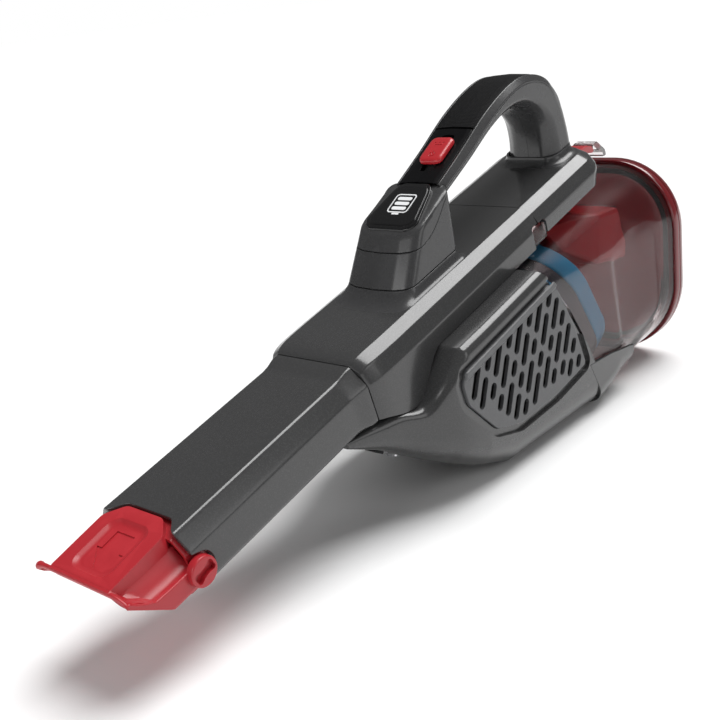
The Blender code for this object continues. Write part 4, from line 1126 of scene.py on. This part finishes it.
def evenHull(half, top, bottom, corner, grow=0.0):
    # the same number of points on every station
    tall = top - bottom
    rt = min(5.5, tall * 0.3)
    rb = min(corner * 1.15, tall * 0.46)
    out = [(half * 0.5 * i / 3, bottom - grow) for i in range(4)]
    start = half + grow - rb
    out += [(half * 0.5 + (start - half * 0.5) * (i + 1) / 3, bottom - grow) for i in range(2)]
    for i in range(11):
        a = math.pi / 2 * i / 10
        out.append((start + rb * math.sin(a), bottom - grow + rb - rb * math.cos(a)))
    low, high = bottom - grow + rb, top + grow - rt
    out += [(half + grow, low + (high - low) * i / 9) for i in range(1, 9)]
    for i in range(8):
        a = math.pi / 2 * i / 7
        out.append((half + grow - rt + rt * math.cos(a), high + rt * math.sin(a)))
    start = half + grow - rt
    out += [(start * (1 - i / 6), top + grow) for i in range(1, 7)]
    return mirrored(out)


def seamRing(grow):
    h = housing
    a = math.radians(stance["seamLean"])
    top = h["shelf"]
    low = seamBase()
    span = (top - low) / math.cos(a)
    out = []
    for x, v in evenHull(h["half"], span / 2, -span / 2, h["corner"], grow):
        t = v / span + 0.5
        z = low + (top - low) * t
        y = h["seamY"] + (h["shelf"] - z) * math.tan(a)
        out.append(noseAt(x, y + h["swell"] * max(0.0, 4 * t * (1 - t)), z))
    return out


grille = {
    "low": 47.6, "high": 49.5, "slotHalf": 2.35, "lean": 36.0, "pitch": 10.2, "long": 12.5, "short": 4.2,
    "space": 7.8, "margin": 4.6, "columns": 17, "firstColumn": 196.0, "columnTop": -22, "reach": 180,
    "corners": (
        (194.5, -22.5, 5.0), (275.5, -22.5, 2.0), (282.0, -29.0, 9.0), (287.5, -46.0, 12.0),
        (291.5, -62.0, 12.0), (294.5, -84.5, 2.0), (262.0, -83.0, 14.0), (226.0, -76.5, 14.0),
        (206.0, -66.0, 10.0), (190.0, -40.0, 10.0), (189.5, -28.0, 5.0)),
    "rail": (  # front, rear, low, top and height above the grille
        (192.5, 280.0, -27.2, -22.9, -0.4), (192.5, 280.0, -27.2, -22.9, 0.1),
        (193.3, 279.2, -26.2, -23.4, 0.75)),
    # x span of the black sheet behind the slots, which paints the shade inside the housing
    "shadeSheet": (45.6, 46.6),
}


def grillePath(grow=0.0):
    path = softPath(grille["corners"], steps=7)
    if not grow:
        return path
    out = []
    n = len(path)
    for i in range(n):
        a, b = Vector(path[i - 1]), Vector(path[(i + 1) % n])
        along = (b - a).normalized()
        out.append((path[i][0] - along.y * grow, path[i][1] + along.x * grow))
    return out


def hullRing(y, half, top, bottom, corner, grow=0.0, back=0.0):
    return crossRing(evenHull(half, top, bottom, corner, grow), y + back)


def makeHousing():
    h = housing

    def waist(y):
        return (y, h["half"], h["shelf"], groundUnder(y), h["corner"])

    outer = [hullRing(*row) for row in smoothRows(h["stations"], 5) + [waist(h["waistY"])]]
    inner = [hullRing(*row, -h["wall"], 1.0) for row in (waist(h["waistY"] + 4),) + h["stations"][:1:-1]]
    piece = rawPiece("housingShell", *loft(outer + [seamRing(0), seamRing(-h["wall"])] + inner))
    tools = []
    for side in (-1, 1):
        cuts = (("rimTool", h["rimGrow"], h["half"] - h["rimDepth"]), ("holeTool", 0.3, h["holeIn"]))
        for label, grow, inside in cuts:
            path = grillePath(grow)
            tools.append(rawPiece(label, *loft([sideRing(path, side * x) for x in (inside, h["rimOut"])])))
    tools.append(rawPiece("jackTool", *loft([jackRing(h["jackRadius"], depth) for depth in (-8.0, 10.0)])))
    carve(piece, *tools)
    finishPiece(piece, looks["gloss"], "body", ("motor_housing",), "shell_grey", 0.5, 3, 38)


jack = {"y": 166.0, "z": -61.0, "lean": 45}   # looks forward and down out of the belly


def jackRing(radius, depth):
    a = math.radians(jack["lean"])
    ring = []
    for u, v in circle(0.0, 0.0, radius, 32):
        y = jack["y"] + v * math.cos(a) + depth * math.sin(a)
        ring.append(noseAt(u, y, jack["z"] - v * math.sin(a) + depth * math.cos(a)))
    return ring


def insidePath(path, y, z):
    hit = False
    for i in range(len(path)):
        (y0, z0), (y1, z1) = path[i - 1], path[i]
        if (z0 > z) != (z1 > z) and y < (y1 - y0) * (z - z0) / (z1 - z0) + y0:
            hit = not hit
    return hit


def slotRows():
    g = grille
    a = math.radians(g["lean"])
    edge = grillePath(-g["margin"])
    found = []
    for column in range(g["columns"]):
        y = g["firstColumn"] + g["pitch"] * column
        spots = [(y - math.sin(a) * k * 0.5, g["columnTop"] - math.cos(a) * k * 0.5)
                 for k in range(g["reach"])]
        spots = [spot for spot in spots if insidePath(edge, *spot)]   # half a millimetre apart
        k, step = 0, column
        while k < len(spots) - 4:
            length = int(2 * (g["long"] if step % 2 else g["short"]))
            end = min(k + length, len(spots) - 1)
            found.append((spots[k], spots[end]))
            k = end + int(2 * g["space"])
            step += 1
    return found


def makeGrilles():
    g = grille
    width, low, high = g["slotHalf"], g["low"], g["high"]
    for side, word in sides:
        rows = []
        for x, grow in ((low, 0.0), (high - 0.5, 0.0), (high - 0.12, -0.18), (high, -0.6)):
            rows.append(sideRing(grillePath(grow), side * x))
        piece = rawPiece("grille" + word.capitalize(), *loft(rows))
        verts, faces = [], []
        for top, foot in slotRows():
            turn = math.atan2(foot[1] - top[1], foot[0] - top[0])
            ring = []
            for centre, start in ((foot, -90), (top, 90)):
                for k in range(9):
                    a = turn + math.radians(start + 180 * k / 8)
                    ring.append((centre[0] + width * math.cos(a), centre[1] + width * math.sin(a)))
            faces += prismFaces(len(verts), len(ring))
            verts += sideRing(ring, side * (low - 2)) + sideRing(ring, side * (high + 2))
        carve(piece, rawPiece("slotTool", verts, faces))
        finishPiece(piece, looks["mesh"], "body", ("grille_" + word,), "shell_grey", 0.16, 2, 50)
        rail = []   # raised rail along the top edge
        for front, rear, foot, head, x in g["rail"]:
            path = softPath([(front, head, 1.2), (rear, head, 1.2), (rear + 2.2, foot, 1.2),
                             (front - 1.0, foot, 1.2)])
            rail.append(sideRing(path, side * (high + x)))
        shell("grilleRail" + word.capitalize(), rail, looks["mesh"], "body", (), "shell_grey", 0.15)
        shadeSheet = [sideRing(grillePath(-0.8), side * x) for x in g["shadeSheet"]]   # black sheet behind the slots: painted shade standing for the dark inside of the housing
        shell("grilleFoam" + word.capitalize(), shadeSheet, looks["shadeBlack"], "body")


cradle = {
    "half": 50.2, "wall": 2.0,
    "front": (327.0, 32.5, 0.2, 18.0),   # y at the bottom, top, bottom and corner, along the leaning seam
    "stations": (  # y at the bottom and the top, top, bottom and corner
        (342.0, 335.0, 31.0, 0.9, 23.0), (350.0, 345.0, 29.5, 2.6, 27.0), (358.0, 356.0, 28.2, 5.0, 30.0),
        (364.0, 363.0, 27.0, 7.5, 32.0)),
}


def cradlePath(lowY, highY, high, low, corner, inset=0.0):
    half = cradle["half"] - inset
    rx, rz = corner - inset, min(corner * 0.82, high - low - 2.0) - inset
    low += inset
    right = [(half, high)]
    for i in range(13):
        a = i * math.pi / 24
        right.append((half - rx + rx * math.cos(a), low + rz - rz * math.sin(a)))
    right.append((0, low))
    tall = max(high - low, 1.0)
    return [restAt(x, lowY + (highY - lowY) * (z - low) / tall, z)
            for x, z in right + [(-x, z) for x, z in right[::-1][1:]]]


def makeCradle():
    c = cradle
    lowY, high, low, corner = c["front"]
    highY = lowY - high * math.tan(math.radians(stance["seamLean"] + stance["pitch"])) + 3.0
    rings = []
    for row in ((lowY, highY, high, low, corner),) + c["stations"]:
        rings.append(cradlePath(*row) + cradlePath(*row, c["wall"])[::-1])
    shell("cradleShell", rings, looks["gloss"], "body", ("rear_cradle",), "shell_grey", 0.5)


def makeJack():
    rings = [jackRing(r, depth) for r, depth in
             ((5.0, -0.2), (5.0, 9.0), (2.9, 9.0), (2.9, 0.3), (3.4, -0.6), (4.6, -0.6))]
    shell("chargeJack", rings, looks["rubber"], "body", ("charging_socket",), "panel_black", 0.1,
          endless=True)


makeHousing()
makeGrilles()
makeCradle()
makeJack()
print("housing made")


# dust bowl

bowl = {
    "wall": 2.0,
    "stations": (  # top y and z, bottom y and z, half width, corner radii top and bottom
        (309.1, 106.6, 352.0, 3.2, 48.2, 24.0, 29.0), (353.3, 114.6, 378.0, 3.0, 48.6, 31.0, 38.0),
        (391.0, 121.4, 399.0, 2.9, 50.4, 37.0, 44.0), (416.2, 125.2, 416.2, 2.8, 52.0, 41.5, 47.5)),
    "window": (
        (344.0, 84.0, 4.0), (384.0, 101.0, 14.0), (398.0, 90.0, 14.0), (402.0, 32.0, 18.0),
        (372.0, 20.0, 8.0), (352.0, 34.0, 8.0)),
    "windowDepth": 1.0, "windowSoft": 3.6,
    "seamHalf": 48.2, "seamTop": 15.0, "seamLow": 20.0, "steps": 14,
}


def bowlRing(row):
    topY, topZ, lowY, lowZ, half, rt, rb = row
    span = math.dist((topY, topZ), (lowY, lowZ))
    out = []
    for x, v in bowlSection(half, span / 2, rt, rb):
        t = (v + span / 2) / span
        out.append((x, lowY + (topY - lowY) * t, lowZ + (topZ - lowZ) * t))
    return out


def bowlSection(half, tall, rt, rb):
    out = []
    for i in range(8):
        out.append(((half - rb) * i / 8, -tall))
    for i in range(17):
        a = math.pi / 2 * i / 16
        out.append((half - rb + rb * math.sin(a), -tall + rb - rb * math.cos(a)))
    low, high = -tall + rb, tall - rt
    out += [(half, low + (high - low) * i / 28) for i in range(1, 28)]
    for i in range(15):
        a = math.pi / 2 * i / 14
        out.append((half - rt + rt * math.cos(a), high + rt * math.sin(a)))
    out += [((half - rt) * (1 - i / 6), tall) for i in range(1, 7)]
    return mirrored(out)


def edgeDistance(path, y, z):
    near = 1e9
    here = Vector((y, z))
    for i in range(len(path)):
        a, b = Vector(path[i - 1]), Vector(path[i])
        run = b - a
        t = min(1.0, max(0.0, (here - a).dot(run) / max(run.length_squared, 1e-9)))
        near = min(near, (a + run * t - here).length)
    return near if insidePath(path, y, z) else -near


def seamRest():
    # first station of the bowl, on the leaning seam, given in the rest frame
    lean = math.tan(math.radians(stance["seamLean"]))
    a = math.radians(stance["pitch"])
    top = housing["shelf"] - 0.5
    low = seamBase() + 3.2
    span = (top - low) / math.cos(math.radians(stance["seamLean"]))
    out = []
    for x, v in bowlSection(bowl["seamHalf"], span / 2, bowl["seamTop"], bowl["seamLow"]):
        t = v / span + 0.5
        z = low + (top - low) * t
        y = housing["seamY"] + 1.8 + (housing["shelf"] - z) * lean
        y += housing["swell"] * max(0.0, 4 * t * (1 - t))
        up = y * math.sin(a) + z * math.cos(a) + stance["lipHeight"]
        out.append((x, y * math.cos(a) - z * math.sin(a), up))
    return out


def makeBowl():
    b = bowl
    window = softPath(b["window"], steps=6)
    keys = [seamRest()] + [bowlRing(row) for row in b["stations"]]
    count = len(keys[0])
    tracks = [smoothRows([ring[i] for ring in keys], b["steps"]) for i in range(count)]
    rings = [list(ring) for ring in zip(*tracks)]

    def pressed(point):
        x, y, z = point
        if abs(x) < 30:
            return point
        depth = b["windowDepth"] * ease(edgeDistance(window, y, z) / b["windowSoft"] + 0.5)
        return (x - math.copysign(depth, x), y, z - depth * 0.5 * ease((z - 70) / 20))

    def shrunk(ring, amount):
        cx = sum(p[0] for p in ring) / count
        cz = (max(p[2] for p in ring) + min(p[2] for p in ring)) / 2
        hx = max(p[0] for p in ring)
        hz = (max(p[2] for p in ring) - min(p[2] for p in ring)) / 2
        return [(p[0] * (hx - amount) / hx, p[1], cz + (p[2] - cz) * (hz - amount) / hz) for p in ring]

    outer = [[restAt(*pressed(p)) for p in ring] for ring in rings]
    inner = [[restAt(*p) for p in shrunk(ring, b["wall"])] for ring in rings]
    piece = rawPiece("bowlShell", *loft(outer + inner[::-1], endless=True))
    hole = roundBox(12.5, 331.5, 350.5, 3.0)   # for the inlet bend
    carve(piece, rawPiece("holeTool", *loft([levelRing(hole, z) for z in (-36.0, -6.0)])))
    finishPiece(piece, looks["smoke"], "bowl", ("dust_bowl",), "smoke_clear")


# filter and its blue seal, seen through the bowl

filterKit = {
    "half": 44.2, "top": 37.4, "fall": 0.2, "low": -57.6, "cornerTop": 29.5, "cornerLow": 30.0,
    "band": ((-2, 1.0), (0, 1.0), (0, 8), (0, 20.4), (-2, 20.4), (-2, 9)),   # growth and place along the axis
    "flange": ((-2.3, 13.6), (-10, 13.6), (-10, 15.4), (-2.3, 15.4)),
    "seal": (
        (-3.4, 20.8), (-0.6, 20.8), (0.0, 21.3), (0.35, 22.6), (0.4, 26.5), (0.35, 31.4), (0.0, 32.6),
        (-0.6, 33.2), (-3.4, 33.2)),
    "pleats": (  # radius and place along the axis
        (28.6, 15.8), (30.4, 15.8), (30.6, 20), (30.6, 36), (30.0, 40.4), (28.2, 42.8), (24.0, 43.6),
        (10.0, 43.4), (2.0, 43.3)),
    "pleatCount": 40, "pleatDepth": 1.1, "turns": 240, "axis": -4,
}


def filterRing(grow, s):
    f = filterKit
    half, low, top = f["half"] + grow, f["low"] - grow, f["top"] - f["fall"] * s + grow
    right = [(0, low, 0), (half, low, f["cornerLow"] + grow), (half, top, f["cornerTop"] + grow), (0, top, 0)]
    return [seamAt(x, v, s) for x, v in mirrored(softPath(right, False, 12))]


def makeFilter():
    f = filterKit
    for name, key, look, stands, slot, edge in (
            ("filterBand", "band", "slate", ("filter_frame",), "inner_dark", 0.5),
            ("filterFlange", "flange", "dark", (), "inner_dark", 0.2),
            ("filterSeal", "seal", "blue", ("filter_ring",), "ring_blue", 0.0)):
        rows = [filterRing(*station) for station in f[key]]
        shell(name, rows, looks[look], "filter", stands, slot, edge, endless=True)
    rows = []
    turns, deep = f["turns"], f["pleatDepth"]
    for r, s in f["pleats"]:
        ring = []
        for i in range(turns):
            fold = 0.0 if s in (f["pleats"][0][1], f["pleats"][-1][1]) else deep
            fold *= math.cos(i * math.pi * 2 / turns * f["pleatCount"]) * min(1.0, r / 24)
            a = 2 * math.pi * i / turns
            size = r - deep + fold
            ring.append(seamAt(size * math.cos(a), f["axis"] + size * math.sin(a), s))
        rows.append(ring)
    shell("filterPleats", rows, looks["felt"], "filter", ("filter_cloth",), "filter_fabric")


# rear door, its rim and catch

door = {
    "y": 416.6, "depth": 12.0, "half": 53.5, "top": 127.0, "low": 0.9, "cornerTop": 43.0, "cornerLow": 49.0,
    # growth of the outline, then y from the front face (0) or the rear face (1) of the rim
    "rim": (
        (-6.0, 0, 0.0), (-1.2, 0, 0.0), (-0.3, 0, 0.3), (0, 0, 1.0), (0, 0, 4.6), (-0.5, 0, 5.0),
        (-0.5, 0, 5.6), (0, 0, 6.0), (0, 1, -4.0), (-0.5, 1, -2.2), (-1.6, 1, -0.7), (-3.0, 1, 0.0),
        (-5.4, 1, 0.0), (-6.0, 1, -0.6)),
    "panel": (
        (-24, 1, 1.9), (-14.4, 1, 0.4), (-10.0, 1, -1.6), (-8.6, 1, -3.6), (-8.4, 0, 3.1), (-6.4, 0, 3.1),
        (-6.4, 1, -1.8), (-7.0, 1, -0.4), (-8.6, 1, 0.7), (-14, 1, 2.5), (-24, 1, 4.0)),
    "seal": ((-9.4, 0, 0.3), (-6.7, 0, 0.3), (-6.6, 0, 0.6), (-6.6, 0, 2.4), (-9.4, 0, 2.4)),
}


def doorRing(grow, face, y):
    d = door
    half, low, top = d["half"] + grow, d["low"] - grow, d["top"] + grow
    right = [(0, low, 0), (half, low, d["cornerLow"] + grow), (half, top, d["cornerTop"] + grow), (0, top, 0)]
    path = mirrored(softPath(right, False, 16))
    return [restAt(x, d["y"] + d["depth"] * face + y, z) for x, z in path]


def makeDoor():
    for name, key, look, node, slot, endless in (
            ("doorRim", "rim", "deepRed", "door_frame", "accent_red", True),
            ("doorPanel", "panel", "redClear", "door_panel", "smoke_clear", False),
            ("doorSeal", "seal", "rubber", "door_seal", "grip_rubber", True)):
        rows = [doorRing(*station) for station in door[key]]
        shell(name, rows, looks[look], "door", (node,), slot, endless=endless)


latch = {
    "lever": (
        (386.5, -2.6, 0.8), (389.0, -1.2, 1.5), (403.0, -2.4, 8.0), (409.0, -5.4, 3.0), (410.6, -8.8, 0.8),
        (408.4, -9.6, 0.8), (401.5, -6.8, 4.0), (394.5, -3.8, 1.0)),
    "leverAcross": ((-9, 0.5), (-8.6, 0.1), (-8, 0), (8, 0), (8.6, 0.1), (9, 0.5)),   # x and inset
    "lug": ((393.0, -17.5, 0.4), (404.0, -18.2, 0.4), (402.0, -8.0, 1.8), (396.0, -8.0, 1.8)),
    "hook": (
        (423.2, -19.0, 0.5), (427.6, -20.0, 1.0), (427.0, -15.6, 2.0), (419.0, -6.6, 2.5), (412.8, -6.4, 1.2),
        (412.2, -9.4, 0.8), (417.5, -11.4, 1.5), (423.4, -16.0, 1.0)),
    "hookAcross": ((-7, 0.4), (-6.6, 0), (6.6, 0), (7, 0.4)),
}


def sideLoft(points, across):
    cy = sum(p[0] for p in points) / len(points)
    cz = sum(p[1] for p in points) / len(points)
    path = softPath(points, steps=4)
    rings = []
    for x, inset in across:
        ring = []
        for y, z in path:
            k = max(0.0, 1 - inset / max(math.dist((y, z), (cy, cz)), 0.5))
            ring.append(noseAt(x, cy + (y - cy) * k, cz + (z - cz) * k))
        rings.append(ring)
    return rings


def makeLatch():
    lever = sideLoft(latch["lever"], latch["leverAcross"])
    shell("latchLever", lever, looks["switch"], "latch", ("door_latch",), "accent_red", 0.2)
    for side, word in sides:
        lug = sideLoft(latch["lug"], ((side * 9.6, 0), (side * 10.6, 0)))
        stands = ("latch_lug_" + word,)
        shell("latchLug" + word.capitalize(), lug, looks["pale"], "bowl", stands, "pale_clear", 0.15)
    hook = sideLoft(latch["hook"], latch["hookAcross"])
    shell("doorCatch", hook, looks["pale"], "door", ("door_catch",), "pale_clear", 0.2)


makeBowl()
makeFilter()
makeDoor()
makeLatch()
print("bowl and door made")


# finishes for the inner pieces that stay as they are

keptLooks = {
    "transfer_duct": "dark", "inlet_duct": "red", "inlet_flap": "rubber", "motor_can": "steel",
    "motor_mount": "dark", "fan_housing": "dark", "motor_shaft": "steel", "impeller": "dark",
    "battery_cell_1": "cell", "battery_cell_2": "cell", "battery_cell_3": "cell", "battery_wall": "dark",
    "control_board": "board", "screw_belly_1": "steel", "screw_belly_2": "steel", "socket_pin": "brass",
    "door_hinge_pin": "steel", "latch_pin": "steel", "switch_stem": "switch",
}


def dressKept():
    for node, look in keptLooks.items():
        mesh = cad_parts[node].data
        mesh.materials.clear()
        mesh.materials.append(looks[look])


dressKept()
print("kept pieces dressed")


# studio

studio = {
    "floorDrop": 0.0004, "floorSize": 60.0, "paper": (0.97, 0.97, 0.97),
    "air": 0.16,                                  # light from all round
    "skyFrom": (0.1, 0.38, 0.92), "sky": 3.2, "skySize": 44.0,   # broad overhead light, a little behind
}


def makeFloor():
    s = studio["floorSize"] / 2
    z = cadBox[0].z - studio["floorDrop"]
    mesh = bpy.data.meshes.new("floor")
    mesh.from_pydata([(-s, -s, z), (s, -s, z), (s, s, z), (-s, s, z)], [], [(0, 1, 2, 3)])
    floor = bpy.data.objects.new("floor", mesh)
    scene.collection.objects.link(floor)
    paper = studio["paper"]
    mesh.materials.append(plastic("floorPaper", paper, 0.9, 300.0, 0.02, 0.1, 0.0, tone=paper))


def softbox(name, spot, target, width, height, power, colour=(1, 1, 1)):
    light = bpy.data.lights.new(name, "AREA")
    light.shape = "RECTANGLE"
    light.size = width
    light.size_y = height
    light.energy = power
    light.color = colour
    lamp = bpy.data.objects.new(name, light)
    lamp.location = spot
    lamp.rotation_euler = (Vector(target) - Vector(spot)).to_track_quat("-Z", "Y").to_euler()
    scene.collection.objects.link(lamp)


def makeLight():
    world = bpy.data.worlds.new("studioAir")
    world.use_nodes = True
    tree = world.node_tree
    air = tree.nodes["Background"]
    air.inputs["Color"].default_value = (1.0, 1.0, 1.0, 1.0)
    seen = tree.nodes.new("ShaderNodeLightPath").outputs["Is Camera Ray"]
    tree.links.new(rangeNode(tree, seen, 0.0, 1.0, studio["air"], 1.0), air.inputs["Strength"])
    scene.world = world
    light = bpy.data.lights.new("overhead", "SUN")
    light.energy = studio["sky"]
    light.angle = math.radians(studio["skySize"])
    lamp = bpy.data.objects.new("overhead", light)
    lamp.rotation_euler = (-Vector(studio["skyFrom"])).to_track_quat("-Z", "Y").to_euler()
    scene.collection.objects.link(lamp)
    softbox("frontBox", (-0.2, -1.5, 0.7), (0, -0.05, 0.08), 0.9, 0.7, 7)
    softbox("sideBox", (1.5, 0.1, 0.8), (0, 0, 0.08), 0.9, 0.9, 3.5)


camera = {
    "lens": 51.7513, "spot": (0.325684, -0.393464, 0.246156),
    "turn": ((0.756918, -0.129351, 0.640581), (0.641883, 0.33123, -0.691572),
             (-0.122724, 0.934642, 0.333742)),
}


def makeCamera():
    eye = bpy.data.objects.new("studioCamera", bpy.data.cameras.new("studioCamera"))
    eye.data.lens = camera["lens"]
    eye.data.sensor_width = 36.0
    eye.data.clip_start = 0.01
    eye.data.clip_end = 60.0
    eye.matrix_world = Matrix.Translation(camera["spot"]) @ Matrix(camera["turn"]).to_4x4()
    scene.collection.objects.link(eye)
    scene.camera = eye


makeFloor()
makeLight()
makeCamera()
print("studio made")
